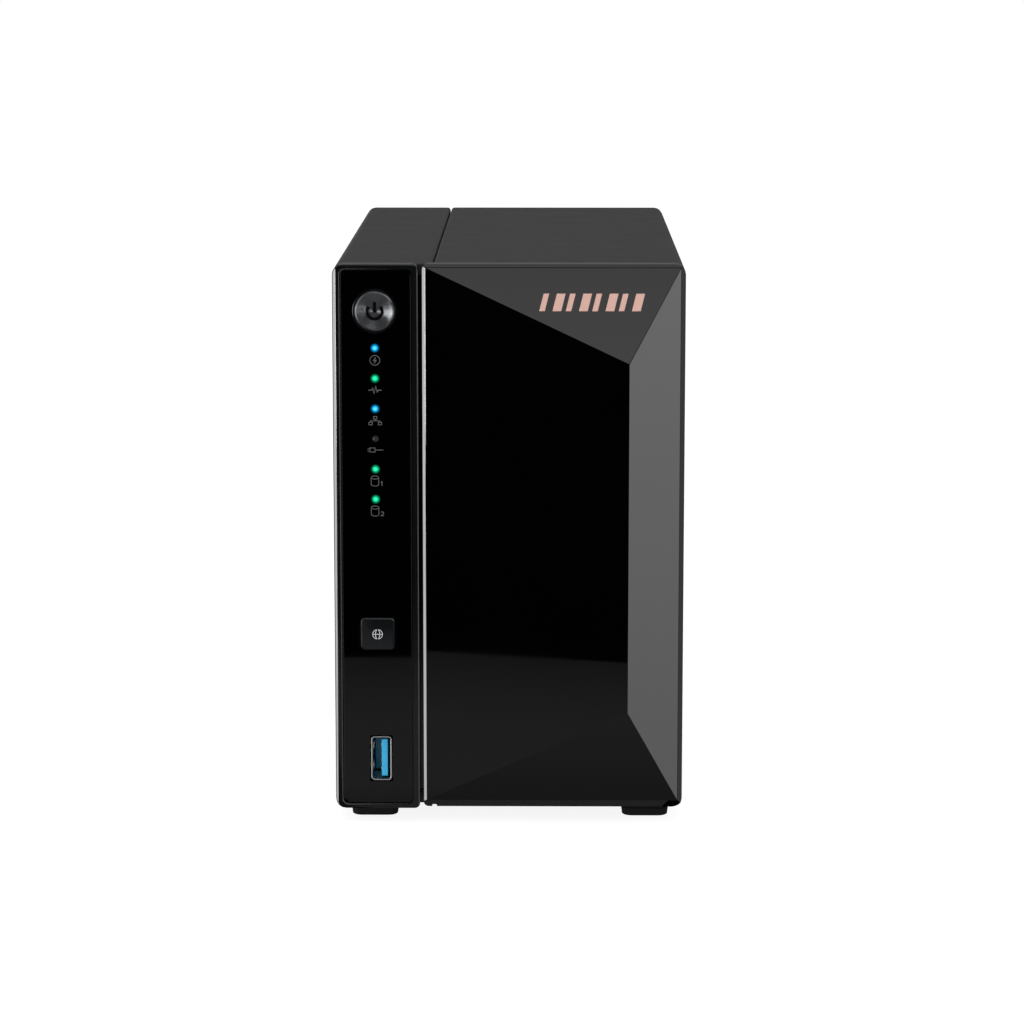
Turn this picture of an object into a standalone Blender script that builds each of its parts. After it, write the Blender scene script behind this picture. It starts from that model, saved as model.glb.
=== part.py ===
"""Two-bay network storage box: a slim button column on the left and a sliding cover with a faceted front.

The frame is +Z up with the front facing -Y. The origin is on the surface it stands on, under its middle.
Every dimension is in millimetres. The helpers at the top turn them into metres.
"""

import math

import bmesh
import bpy
from mathutils import Vector

MM = 0.001

# Outer size, with the feet and the thumbscrew heads
WIDTH = 102.0
HEIGHT = 165.0
DEPTH = 218.0

# Case
SIDE = WIDTH / 2
FRONT = -DEPTH / 2
REAR = DEPTH / 2
FOOT = 4.2
WALL = 2.2
CORNER = 3.0
GAP = 0.3
RIDGE_PROUD = 8.0
RIM = FRONT + RIDGE_PROUD
PANEL_BACK = RIM + 6.0
SHELL_FRONT = PANEL_BACK + 0.5
SHELL_REAR = REAR - 4.0
INNER_SIDE = SIDE - WALL
INNER_TOP = HEIGHT - WALL
INNER_FOOT = FOOT + WALL

# Seam between the two shells, where a tongue of the left one laps under the cover
SEAM_X = -22.0
SEAM_HALF_GAP = 0.15
SEAM_CHAMFER = 0.6
TONGUE_LEFT = SEAM_X - 5.0
TONGUE_RIGHT = SEAM_X + 5.0
TONGUE_THICK = 1.5

# Button column
BEZEL_RIGHT = -26.2
BEZEL_ROUNDING = 0.4
BEZEL_CHAMFER = 1.0
BEZEL_CHAMFER_DEPTH = 0.55
COLUMN_X = -38.7
WINDOW_LOW = (-48.5, 5.9)
WINDOW_HIGH = (-28.3, 163.3)
WINDOW_FRONT = RIM + 0.1
WINDOW_BACK = WINDOW_FRONT + 1.4
WEB_FRONT = WINDOW_BACK + GAP
WEB_BACK = WEB_FRONT + 1.2
BOARD_FRONT = RIM + 11.0
BOARD_BACK = BOARD_FRONT + 1.6
CAVITY_LOW = (-46.7, 8.5)
CAVITY_HIGH = (-30.8, 160.7)
LIP_BACK = BOARD_BACK + 0.6
POST_HEIGHTS = (40.0, 84.0)
POWER_Z = 151.5
POWER_R = 5.7
POWER_TRAVEL = 1.0
BACKUP_X = -38.4
BACKUP_Z = 56.6
BACKUP_W = 10.3
BACKUP_H = 9.9
BACKUP_TRAVEL = 0.8
LED_COUNT = 6
LED_TOP_Z = 140.8
LED_STEP = 8.84
LED_R = 0.8
LENS_FLANGE_R = 1.5
USB_X = -37.5
USB_Z = 19.3
SWITCH_HALF = 3.0
SWITCH_DEPTH = 3.1

# USB type A socket, its long side upright
USB_LONG = 13.3
USB_SHORT = 6.1
USB_DEEP = 14.0
USB_METAL = 0.4

# Faceted front
PANEL_LEFT = -25.1
PANEL_CHAMFER = 0.95
PANEL_CHAMFER_DEPTH = 0.52
RIM_EDGE = 1.4
FACET_TOP = HEIGHT - 0.9
FACET_FOOT = FOOT + 2.6
FACET_RIGHT = SIDE - RIM_EDGE
FACET_LEFT = PANEL_LEFT + PANEL_CHAMFER
RIDGE_X = 34.6
RIDGE_TOP = 137.1
RIDGE_FOOT = 34.8
FACET_TILT = math.atan(RIDGE_PROUD / (FACET_TOP - RIDGE_TOP))
BADGE_LEFT = 8.1
BADGE_Z = 154.2
BADGE_TALL = 6.6
BADGE_BARS = 8
BADGE_PITCH = 3.8
BADGE_STRIP = 0.2
BADGE_BAR = 0.4
TAB_CENTRES = (8.0, 38.0)
TAB_HALF = 5.0
TAB_FRONT = SHELL_FRONT + 4.5
TAB_BACK = TAB_FRONT + 2.0
TAB_HEIGHTS = (13.0, 156.0)

# Disks, standing on edge side by side, and the cage round them
DRIVE_THICK = 26.1
DRIVE_TALL = 101.6
DRIVE_LONG = 147.0
DRIVE_FRONT = -83.0
DRIVE_FOOT = 30.0
DRIVE_LEFTS = (-14.6, 12.9)
DRIVE_SCREW_YS = (-58.0, 43.6)
DRIVE_SCREW_X = 12.4
SHEET = 1.2
CAGE_LEFT = -16.4
CAGE_RIGHT = 41.0
CAGE_LOW = DRIVE_FOOT - GAP - SHEET
CAGE_HIGH = DRIVE_FOOT + DRIVE_TALL + GAP + SHEET
CAGE_FRONT = -84.0
CAGE_REAR = 60.0

# Inner frame: an upright sheet between the boards and the disks, with flanges along its top and bottom
FRAME_RIGHT = CAGE_LEFT - GAP
FRAME_LEFT = FRAME_RIGHT - SHEET
FRAME_FOOT = 9.6
FRAME_HEAD = 158.0
FRAME_FLANGE_LEFT = -36.0
FRAME_REAR = 100.0
FRAME_TAB_HEIGHTS = (24.0, 132.0)
FRAME_BOSS_X = -31.0
FRAME_BOSS_YS = (-70.0, 78.0)

# Mainboard, upright beside the left wall
BOARD_LEFT = -43.5
BOARD_RIGHT = -41.9
PART_LEFT = BOARD_RIGHT + GAP
STANDOFFS = ((-68.0, 22.0), (-68.0, 138.0), (50.0, 22.0), (80.0, 138.0))

# Rear panel and what comes through it
PANEL_FRONT_Y = SHELL_REAR - 3.8
PANEL_REAR_Y = SHELL_REAR - 1.6
PORT_END = PANEL_REAR_Y + 0.3
REAR_USB_X = -37.0
REAR_USB_ZS = (118.0, 98.0)
LAN_LOW = (-41.4, 64.0)
LAN_HIGH = (-27.9, 80.0)
RESET_X = -36.0
RESET_Z = 52.0
RESET_TRAVEL = 0.5
DC_LOW = (-41.4, 30.0)
DC_HIGH = (-30.4, 41.0)
LOCK_X = -36.5
LOCK_Z = 140.0
SCREW_X = 42.5
SCREW_ZS = (17.0, 152.0)
SHELL_BOSS_X = -44.2
SHELL_BOSS_ZS = (11.2, 156.0)
FRAME_SCREW_X = -11.0

# Fan
FAN_X = 12.3
FAN_Z = 81.0
FAN_HALF = 35.0
FAN_FRONT = 76.0
FAN_REAR = PANEL_FRONT_Y - GAP
FAN_HOLE_R = 33.3
FAN_BOLT = 30.0
HUB_R = 13.0
BLADES = 7
BLADE_REACH = 31.0
GRILLE_R = 32.0
GRILLE_PITCH = 8.4
GRILLE_HEX_R = 3.9

# Backplane behind the disks
BACKPLANE_FRONT = 70.0
BACKPLANE_BACK = 71.6
BACKPLANE_LOW = (-40.0, 56.0)
BACKPLANE_HIGH = (38.0, 106.0)

# Fasteners
SHANK_R = 1.35
HOLE_R = 1.8
HEAD_R = 2.8
HEAD_H = 1.7
SCREW_SIDES = 8

# Finishes: colour, roughness, metallic
BLACK_PLASTIC = ((0.018, 0.018, 0.019), 0.55, 0.0)
GLOSS_BLACK = ((0.004, 0.004, 0.005), 0.06, 0.0)
DARK_METAL = ((0.16, 0.16, 0.17), 0.32, 1.0)
RUBBER = ((0.03, 0.03, 0.03), 0.85, 0.0)
STEEL = ((0.62, 0.62, 0.63), 0.35, 1.0)
CAST = ((0.48, 0.48, 0.5), 0.5, 0.8)
ALUMINIUM = ((0.7, 0.7, 0.72), 0.35, 1.0)
ROSE_GOLD = ((0.55, 0.34, 0.27), 0.3, 1.0)
BOARD_GREEN = ((0.01, 0.09, 0.04), 0.45, 0.0)
CHIP = ((0.02, 0.02, 0.022), 0.5, 0.0)
USB_BLUE = ((0.01, 0.18, 0.62), 0.4, 0.0)
LENS = ((0.8, 0.85, 0.85), 0.1, 0.0)
DARK_SCREW = ((0.05, 0.05, 0.055), 0.35, 1.0)

TOWARDS = {
    "front": (math.pi / 2, 0, 0),
    "rear": (-math.pi / 2, 0, 0),
    "right": (0, math.pi / 2, 0),
    "left": (0, -math.pi / 2, 0),
    "up": (0, 0, 0),
    "down": (math.pi, 0, 0),
}
ACROSS = {"X": (math.pi / 2, 0, math.pi / 2), "Y": (math.pi / 2, 0, 0), "Z": (0, 0, 0)}


# ---------------------------------------------------------------- helpers


def clear_scene():
    for obj in list(bpy.data.objects):
        bpy.data.objects.remove(obj)


def new_collection(name):
    collection = bpy.data.collections.new(name)
    bpy.context.scene.collection.children.link(collection)
    return collection


def paint(obj, finish):
    colour, roughness, metallic = finish
    material = bpy.data.materials.new(obj.name)
    material.use_nodes = True
    shader = material.node_tree.nodes["Principled BSDF"]
    shader.inputs["Base Color"].default_value = (*colour, 1.0)
    shader.inputs["Roughness"].default_value = roughness
    shader.inputs["Metallic"].default_value = metallic
    obj.data.materials.append(material)


def place(name, data, finish, location=(0, 0, 0), rotation=(0, 0, 0)):
    """A part when it has a finish, and otherwise a cutter or a shape to be joined on."""
    obj = bpy.data.objects.new(name, data)
    obj.location = Vector(location) * MM
    obj.rotation_euler = rotation
    if finish is None:
        CUTTERS.objects.link(obj)
        obj.hide_render = True
        obj.display_type = "WIRE"
    else:
        PARTS.objects.link(obj)
        paint(obj, finish)
    return obj


def mesh_of(bm, name):
    mesh = bpy.data.meshes.new(name)
    bm.to_mesh(mesh)
    bm.free()
    return mesh


def smooth(obj, angle=40):
    obj.data.shade_smooth()
    obj.data.set_sharp_from_angle(angle=math.radians(angle))
    return obj


def bevel(obj, width, segments=2):
    modifier = obj.modifiers.new("rounded edges", "BEVEL")
    modifier.width = width * MM
    modifier.segments = segments
    modifier.limit_method = "ANGLE"
    return obj


def round_over(obj, y, radius, segments=3):
    """Rounds the edges round an upright face that lies at y."""
    bm = bmesh.new()
    bm.from_mesh(obj.data)
    bmesh.ops.dissolve_limit(bm, angle_limit=0.001, verts=bm.verts, edges=bm.edges)
    rim = []
    for edge in bm.edges:
        flush = all(abs((obj.matrix_basis @ v.co).y / MM - y) < 0.001 for v in edge.verts)
        if flush and edge.calc_face_angle(0) > 1.0:
            rim.append(edge)
    bmesh.ops.bevel(bm, geom=rim, offset=radius * MM, segments=segments, profile=0.5, affect="EDGES")
    bm.to_mesh(obj.data)
    bm.free()
    return obj


def join(obj, other, operation):
    modifier = obj.modifiers.new(other.name, "BOOLEAN")
    modifier.operation = operation
    modifier.solver = "EXACT"
    modifier.object = other
    return obj


def cut(obj, *cutters):
    for cutter in cutters:
        join(obj, cutter, "DIFFERENCE")
    return obj


def fuse(obj, *extras):
    for extra in extras:
        join(obj, extra, "UNION")
    return obj


def box(name, low, high, finish=None):
    size = [(b - a) * MM for a, b in zip(low, high)]
    centre = [(a + b) / 2 for a, b in zip(low, high)]
    bm = bmesh.new()
    bmesh.ops.create_cube(bm, size=1.0)
    bmesh.ops.scale(bm, vec=size, verts=bm.verts)
    return place(name, mesh_of(bm, name), finish, centre)


def rod(name, radius, base, length, towards, finish=None, sides=24):
    """A cylinder that starts at base and runs length towards a side of the object."""
    bm = bmesh.new()
    bmesh.ops.create_cone(
        bm, cap_ends=True, segments=sides, radius1=radius * MM, radius2=radius * MM, depth=length * MM
    )
    bmesh.ops.translate(bm, vec=(0, 0, length * MM / 2), verts=bm.verts)
    return smooth(place(name, mesh_of(bm, name), finish, base, TOWARDS[towards]))


def turned(name, profile, base, towards, finish=None, sides=24):
    """A turned piece. The profile is (radius, distance) from the far end back to the near one."""
    bm = bmesh.new()
    points = [bm.verts.new((radius * MM, 0, along * MM)) for radius, along in profile]
    for first, second in zip(points, points[1:]):
        bm.edges.new((first, second))
    obj = place(name, mesh_of(bm, name), finish, base, TOWARDS[towards])
    screw = obj.modifiers.new("turned", "SCREW")
    screw.axis = "Z"
    screw.steps = sides
    screw.render_steps = sides
    screw.use_merge_vertices = True
    screw.merge_threshold = 0.00001
    return obj


def realised(obj):
    """The evaluated mesh of an object, with its loose caps welded. The object itself is removed."""
    bpy.context.view_layer.update()
    evaluated = obj.evaluated_get(bpy.context.evaluated_depsgraph_get())
    mesh = bpy.data.meshes.new_from_object(evaluated)
    mesh.materials.clear()
    bm = bmesh.new()
    bm.from_mesh(mesh)
    bmesh.ops.remove_doubles(bm, verts=bm.verts, dist=0.000001)
    bmesh.ops.recalc_face_normals(bm, faces=bm.faces)
    bm.to_mesh(mesh)
    bm.free()
    bpy.data.objects.remove(obj)
    return mesh


def plate(name, outlines, start, end, across, finish=None):
    """Flat outlines, the first one filled and the others holes in it, as thick as start to end."""
    curve = bpy.data.curves.new(name, "CURVE")
    curve.dimensions = "2D"
    curve.fill_mode = "BOTH"
    curve.extrude = (end - start) * MM / 2
    for outline in outlines:
        spline = curve.splines.new("POLY")
        spline.points.add(len(outline) - 1)
        spline.use_cyclic_u = True
        for point, (u, v) in zip(spline.points, outline):
            point.co = (u * MM, v * MM, 0, 1)
    middle = Vector((0, 0, 0))
    middle["XYZ".index(across)] = (start + end) / 2
    mesh = realised(place(name, curve, None))
    return place(name, mesh, finish, middle, ACROSS[across])


def arc(u, v, radius, start, end, steps=4):
    angles = [math.radians(start + (end - start) * i / steps) for i in range(steps + 1)]
    return [(u + radius * math.cos(a), v + radius * math.sin(a)) for a in angles]


def rounded(low, high, radius, steps=4):
    """A rectangle with rounded corners. The radius is one number, or (left corners, right corners)."""
    left, right = radius if isinstance(radius, tuple) else (radius, radius)
    return (
        arc(low[0] + left, low[1] + left, left, 180, 270, steps)
        + arc(high[0] - right, low[1] + right, right, 270, 360, steps)
        + arc(high[0] - right, high[1] - right, right, 0, 90, steps)
        + arc(low[0] + left, high[1] - left, left, 90, 180, steps)
    )


def rectangle(low, high):
    return [low, (high[0], low[1]), high, (low[0], high[1])]


def grown(low, high, by):
    return (low[0] - by, low[1] - by), (high[0] + by, high[1] + by)


def around(u, v, width, height):
    return (u - width / 2, v - height / 2), (u + width / 2, v + height / 2)


def led_height(number):
    return LED_TOP_Z - number * LED_STEP


def screw(name, length, base, towards, finish):
    """A pan head screw. Its head stands towards a side from base, and its shank runs the other way."""
    profile = [
        (0, HEAD_H),
        (HEAD_R * 0.72, HEAD_H),
        (HEAD_R, HEAD_H * 0.55),
        (HEAD_R, 0),
        (SHANK_R, 0),
        (SHANK_R, -length),
        (0, -length),
    ]
    return turned(name, profile, base, towards, finish, SCREW_SIDES)


def screw_hole(base, length, towards):
    return rod("screw hole", HOLE_R, base, length, towards, None, SCREW_SIDES)


# ---------------------------------------------------------------- the two shells


def left_shell():
    """A C section open to the right, thicker at the seam, where its tongue steps in under the cover."""
    edge = SEAM_X - SEAM_HALF_GAP
    low_lap = INNER_FOOT + GAP
    high_lap = INNER_TOP - GAP
    section = [(edge - SEAM_CHAMFER, HEIGHT)]
    section += arc(-SIDE + CORNER, HEIGHT - CORNER, CORNER, 90, 180)
    section += arc(-SIDE + CORNER, FOOT + CORNER, CORNER, 180, 270)
    section += [(edge - SEAM_CHAMFER, FOOT), (edge, FOOT + SEAM_CHAMFER), (edge, low_lap)]
    section += [(TONGUE_RIGHT, low_lap), (TONGUE_RIGHT, low_lap + TONGUE_THICK)]
    section += [(TONGUE_LEFT, low_lap + TONGUE_THICK), (TONGUE_LEFT, INNER_FOOT)]
    section += [(-INNER_SIDE, INNER_FOOT), (-INNER_SIDE, INNER_TOP)]
    section += [(TONGUE_LEFT, INNER_TOP), (TONGUE_LEFT, high_lap - TONGUE_THICK)]
    section += [(TONGUE_RIGHT, high_lap - TONGUE_THICK), (TONGUE_RIGHT, high_lap)]
    section += [(edge, high_lap), (edge, HEIGHT - SEAM_CHAMFER)]
    shell = plate("left_shell", [section], SHELL_FRONT, SHELL_REAR, "Y", BLACK_PLASTIC)
    for low, high in ((INNER_FOOT, 9.0), (160.0, INNER_TOP)):
        notch_low = (TONGUE_LEFT - 0.5, PANEL_FRONT_Y - GAP, low)
        notch_high = (TONGUE_RIGHT + 1, SHELL_REAR + 1, high)
        cut(shell, box("rear panel notch", notch_low, notch_high))
    for y, z in STANDOFFS:
        fuse(shell, rod("standoff", 3.2, (-INNER_SIDE - 1, y, z), 6.0, "right", None, 12))
        cut(shell, screw_hole((BOARD_LEFT + 1, y, z), 5.5, "left"))
    for y in FRAME_BOSS_YS:
        fuse(shell, rod("upper boss", 3.2, (FRAME_BOSS_X, y, INNER_TOP + 1), 5.5, "down", None, 12))
        cut(shell, screw_hole((FRAME_BOSS_X, y, FRAME_HEAD - 1), 5.6, "up"))
        fuse(shell, rod("lower boss", 3.2, (FRAME_BOSS_X, y, INNER_FOOT - 1), 3.9, "up", None, 12))
        cut(shell, screw_hole((FRAME_BOSS_X, y, FRAME_FOOT + 1), 4.5, "down"))
    for z in SHELL_BOSS_ZS:
        block = box("rear boss", (-INNER_SIDE - 1, 88, z - 3.6), (-40.6, PANEL_FRONT_Y - GAP, z + 3.6))
        fuse(shell, block)
        cut(shell, screw_hole((SHELL_BOSS_X, PANEL_FRONT_Y + 1, z), 9.0, "front"))
    return shell


def right_shell():
    """The cover's shell: a C section open to the left, with blocks for the thumbscrews and front tabs."""
    edge = SEAM_X + SEAM_HALF_GAP
    section = [(edge + SEAM_CHAMFER, FOOT)]
    section += arc(SIDE - CORNER, FOOT + CORNER, CORNER, 270, 360)
    section += arc(SIDE - CORNER, HEIGHT - CORNER, CORNER, 0, 90)
    section += [(edge + SEAM_CHAMFER, HEIGHT), (edge, HEIGHT - SEAM_CHAMFER), (edge, INNER_TOP)]
    section += [(INNER_SIDE, INNER_TOP), (INNER_SIDE, INNER_FOOT)]
    section += [(edge, INNER_FOOT), (edge, FOOT + SEAM_CHAMFER)]
    shell = plate("right_shell", [section], SHELL_FRONT, SHELL_REAR, "Y", BLACK_PLASTIC)
    for z in SCREW_ZS:
        low = (38.0, 87.0, z - 5)
        high = (INNER_SIDE + 1, PANEL_FRONT_Y - GAP, z + 5)
        fuse(shell, box("thumbscrew block", low, high))
        cut(shell, rod("thread", 2.1, (SCREW_X, PANEL_FRONT_Y, z), 13.0, "front", None, 12))
    for z, low, high in (
        (TAB_HEIGHTS[0], FOOT + 1, TAB_HEIGHTS[0] + TAB_HALF),
        (TAB_HEIGHTS[1], TAB_HEIGHTS[1] - TAB_HALF, HEIGHT - 1),
    ):
        for x in TAB_CENTRES:
            fuse(shell, box("front tab", (x - TAB_HALF, TAB_FRONT, low), (x + TAB_HALF, TAB_BACK, high)))
            cut(shell, screw_hole((x, TAB_BACK + 1, z), 4.0, "front"))
    for i in range(9):
        y = -40.0 + 9.0 * i
        cut(shell, box("intake slot", (-6, y, FOOT - 1), (32, y + 3.0, INNER_FOOT + 1)))
    return shell


def foot(name, x, y):
    """A pad with sloping sides under the case."""
    bm = bmesh.new()
    bmesh.ops.create_cube(bm, size=1.0)
    bmesh.ops.scale(bm, vec=(14.4 * MM, 18.0 * MM, (FOOT - GAP) * MM), verts=bm.verts)
    lower = [v for v in bm.verts if v.co.z < 0]
    bmesh.ops.scale(bm, vec=(0.93, 0.94, 1.0), verts=lower)
    obj = place(name, mesh_of(bm, name), RUBBER, (x, y, (FOOT - GAP) / 2))
    return bevel(obj, 0.6, 1)


def feet():
    front_y = RIM + 7.7 + 9.0
    rear_y = 88.0
    foot("foot_front_left", -39.9, front_y)
    foot("foot_rear_left", -39.9, rear_y)
    foot("foot_front_right", 40.3, front_y)
    foot("foot_rear_right", 40.3, rear_y)


# ---------------------------------------------------------------- button column


def column_holes(name, margin, start, end):
    """Cutters for everything that comes through the column: buttons, status lights and socket."""
    length = end - start
    holes = [rod(name + " power", POWER_R + margin, (COLUMN_X, end, POWER_Z), length, "front", None, 32)]
    low, high = around(BACKUP_X, BACKUP_Z, BACKUP_W + 2 * margin, BACKUP_H + 2 * margin)
    holes.append(plate(name + " backup", [rounded(low, high, 1.5, 3)], start, end, "Y"))
    low, high = around(USB_X, USB_Z, USB_SHORT + 2 * margin, USB_LONG + 2 * margin)
    holes.append(plate(name + " socket", [rectangle(low, high)], start, end, "Y"))
    for i in range(LED_COUNT):
        centre = (COLUMN_X, end, led_height(i))
        holes.append(rod(name + " light", LED_R + margin, centre, length, "front", None, 12))
    return holes


def front_bezel():
    """The column frame: a pocket for the window, a web, a lip into the shell and a baffle by the gap."""
    outline = rounded((-SIDE, FOOT), (BEZEL_RIGHT, HEIGHT), (CORNER, 1.5))
    bezel = plate("front_bezel", [outline], RIM, PANEL_BACK, "Y", BLACK_PLASTIC)
    round_over(bezel, RIM, BEZEL_ROUNDING)
    start, end = Vector((-SIDE + BEZEL_CHAMFER, RIM)), Vector((-SIDE, RIM + BEZEL_CHAMFER_DEPTH))
    beyond = start + (end - start) * 2
    wedge = [tuple(start), tuple(beyond), (beyond.x, RIM - 1), (start.x, RIM - 1)]
    cut(bezel, plate("left chamfer", [wedge], FOOT - 1, HEIGHT + 1, "Z"))
    lip_low = (-INNER_SIDE + GAP, INNER_FOOT + GAP)
    lip_high = (-28.9, INNER_TOP - GAP)
    fuse(bezel, plate("lip", [rectangle(lip_low, lip_high)], PANEL_BACK - 0.5, LIP_BACK, "Y"))
    low = (lip_high[0] - 0.6, SHELL_FRONT + GAP, INNER_FOOT + GAP + TONGUE_THICK + 0.4)
    high = (SEAM_X - SEAM_HALF_GAP - GAP, SHELL_FRONT + GAP + 1.4, INNER_TOP - GAP - TONGUE_THICK - 0.4)
    fuse(bezel, box("baffle", low, high))
    cut(bezel, plate("cavity", [rectangle(CAVITY_LOW, CAVITY_HIGH)], WEB_BACK, LIP_BACK + 1, "Y"))
    pocket = rounded(*grown(WINDOW_LOW, WINDOW_HIGH, GAP), 1.6)
    cut(bezel, plate("window pocket", [pocket], RIM - 1, WEB_FRONT, "Y"))
    for z in POST_HEIGHTS:
        fuse(bezel, rod("post", 1.6, (COLUMN_X, BOARD_BACK + 0.5, z), 11.0, "front", None, 12))
    return cut(bezel, *column_holes("web hole", GAP + 0.05, WEB_FRONT - 0.5, WEB_BACK + 0.5))


def bezel_window():
    outline = rounded(WINDOW_LOW, WINDOW_HIGH, 1.3)
    window = plate("bezel_window", [outline], WINDOW_FRONT, WINDOW_BACK, "Y", GLOSS_BLACK)
    return cut(window, *column_holes("window hole", GAP, WINDOW_FRONT - 1, WINDOW_BACK + 1))


def status_lenses():
    """Light pipes: a thin tip in the window, a flange behind the web, and a body back to the board."""
    tip = RIM - 0.05
    flange = WEB_BACK + GAP
    back = BOARD_FRONT - 1.0
    for i in range(LED_COUNT):
        profile = [(0, back - tip), (LED_R, back - tip), (LED_R, back - flange)]
        profile += [(LENS_FLANGE_R, back - flange), (LENS_FLANGE_R, 0), (0, 0)]
        base = (COLUMN_X, back, led_height(i))
        turned(f"status_lens_{i + 1}", profile, base, "front", LENS, 12)


def front_board():
    low, high = grown(CAVITY_LOW, CAVITY_HIGH, -GAP)
    board = plate("front_board", [rectangle(low, high)], BOARD_FRONT, BOARD_BACK, "Y", BOARD_GREEN)
    low, high = around(USB_X, USB_Z, USB_SHORT + 2 * GAP, USB_LONG + 2 * GAP)
    cut(board, plate("socket hole", [rectangle(low, high)], BOARD_FRONT - 1, BOARD_BACK + 1, "Y"))
    for z in POST_HEIGHTS:
        cut(board, rod("post hole", 1.95, (COLUMN_X, BOARD_BACK + 1, z), 4.0, "front", None, 12))
    return board


def push_switch(name, x, z, base_y, towards, travel):
    """A fixed switch body with a blind hole, and the plunger that the button pushes into it."""
    way = -1 if towards == "front" else 1
    top = base_y + way * SWITCH_DEPTH
    near, far = sorted((base_y, top))
    low = (x - SWITCH_HALF, near, z - SWITCH_HALF)
    high = (x + SWITCH_HALF, far, z + SWITCH_HALF)
    body = box(name + "_switch", low, high, CHIP)
    floor = base_y + way * 0.5
    cut(body, rod("plunger hole", 1.95, (x, floor, z), SWITCH_DEPTH + 1, towards, None, 12))
    inner_end = floor + way * (travel + GAP)
    rod(name + "_plunger", 1.6, (x, inner_end, z), 2.4, towards, CHIP, 12)
    return inner_end + way * 2.4


def power_button():
    """A round metal button with a dished face, a flange behind the web and a stem to its plunger."""
    plunger_top = push_switch("power", COLUMN_X, POWER_Z, BOARD_FRONT - GAP, "front", POWER_TRAVEL)
    back = plunger_top - GAP
    face = RIM - 0.3
    flange = WEB_BACK + GAP
    depth = back - face
    profile = [
        (0, depth - 0.25),
        (POWER_R * 0.5, depth - 0.2),
        (POWER_R - 0.7, depth - 0.05),
        (POWER_R - 0.5, depth),
        (POWER_R - 0.3, depth),
        (POWER_R, depth - 0.35),
        (POWER_R, back - flange),
        (POWER_R + 1.1, back - flange),
        (POWER_R + 1.1, back - flange - 1.0),
        (2.0, back - flange - 1.0),
        (2.0, 0),
        (0, 0),
    ]
    return smooth(turned("power_button", profile, (COLUMN_X, back, POWER_Z), "front", DARK_METAL, 32))


def backup_button():
    """A rounded square cap with a flange behind the web and a stem to its plunger."""
    plunger_top = push_switch("backup", BACKUP_X, BACKUP_Z, BOARD_FRONT - GAP, "front", BACKUP_TRAVEL)
    back = plunger_top - GAP
    flange = WEB_BACK + GAP
    low, high = around(BACKUP_X, BACKUP_Z, BACKUP_W, BACKUP_H)
    cap = plate("backup_button", [rounded(low, high, 1.3, 3)], RIM - 0.2, flange + 0.5, "Y", GLOSS_BLACK)
    low, high = grown(low, high, 1.0)
    fuse(cap, plate("flange", [rectangle(low, high)], flange, flange + 1.0, "Y"))
    return fuse(cap, rod("stem", 2.0, (BACKUP_X, back, BACKUP_Z), back - flange - 0.5, "front", None, 12))


def usb_socket(name, x, z, mouth, towards):
    """A folded metal shell, open at its mouth, and the insulator block with its tongue inside."""
    way = 1 if towards == "front" else -1
    end = mouth + way * USB_DEEP
    near, far = sorted((mouth, end))
    outer = rectangle(*around(x, z, USB_SHORT, USB_LONG))
    inner = rectangle(*around(x, z, USB_SHORT - 2 * USB_METAL, USB_LONG - 2 * USB_METAL))
    plate(name + "_shell", [outer, inner], near, far, "Y", STEEL)
    near, far = sorted((end - way * 2.6, end - way * 0.2))
    low, high = around(x, z, USB_SHORT - 2 * USB_METAL - 2 * GAP, USB_LONG - 2 * USB_METAL - 2 * GAP)
    block = plate(name + "_tongue", [rectangle(low, high)], near, far, "Y", USB_BLUE)
    near, far = sorted((mouth + way * 1.0, end - way * 1.0))
    low, high = around(x + 0.9, z, 1.9, 11.1)
    return fuse(block, plate("tongue", [rectangle(low, high)], near, far, "Y"))


# ---------------------------------------------------------------- faceted front


def facet_planes(inset):
    """A point on each facet and its outward normal, each moved inwards by inset."""
    ridge_top = Vector((RIDGE_X, FRONT, RIDGE_TOP))
    ridge_foot = Vector((RIDGE_X, FRONT, RIDGE_FOOT))
    top_left = Vector((FACET_LEFT, RIM, FACET_TOP))
    top_right = Vector((FACET_RIGHT, RIM, FACET_TOP))
    foot_left = Vector((FACET_LEFT, RIM, FACET_FOOT))
    foot_right = Vector((FACET_RIGHT, RIM, FACET_FOOT))
    corners = [
        (ridge_top, ridge_foot, top_left),
        (ridge_top, top_left, top_right),
        (ridge_foot, ridge_top, top_right),
        (ridge_foot, foot_right, foot_left),
    ]
    planes = []
    for a, b, c in corners:
        normal = (b - a).cross(c - a).normalized()
        if normal.y > 0:
            normal.negate()
        planes.append((a - normal * inset, normal))
    return planes


def rim_planes():
    """The chamfers round the panel's front: a shallow one at its left edge and steep ones elsewhere."""
    return [
        (Vector((FACET_LEFT, RIM, 0)), Vector((-PANEL_CHAMFER_DEPTH, -PANEL_CHAMFER, 0)).normalized()),
        (Vector((FACET_RIGHT, RIM, 0)), Vector((1, -1, 0)).normalized()),
        (Vector((0, RIM, FACET_TOP)), Vector((0, -1, 1)).normalized()),
        (Vector((0, RIM, FACET_FOOT)), Vector((0, -1, -1)).normalized()),
    ]


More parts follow.
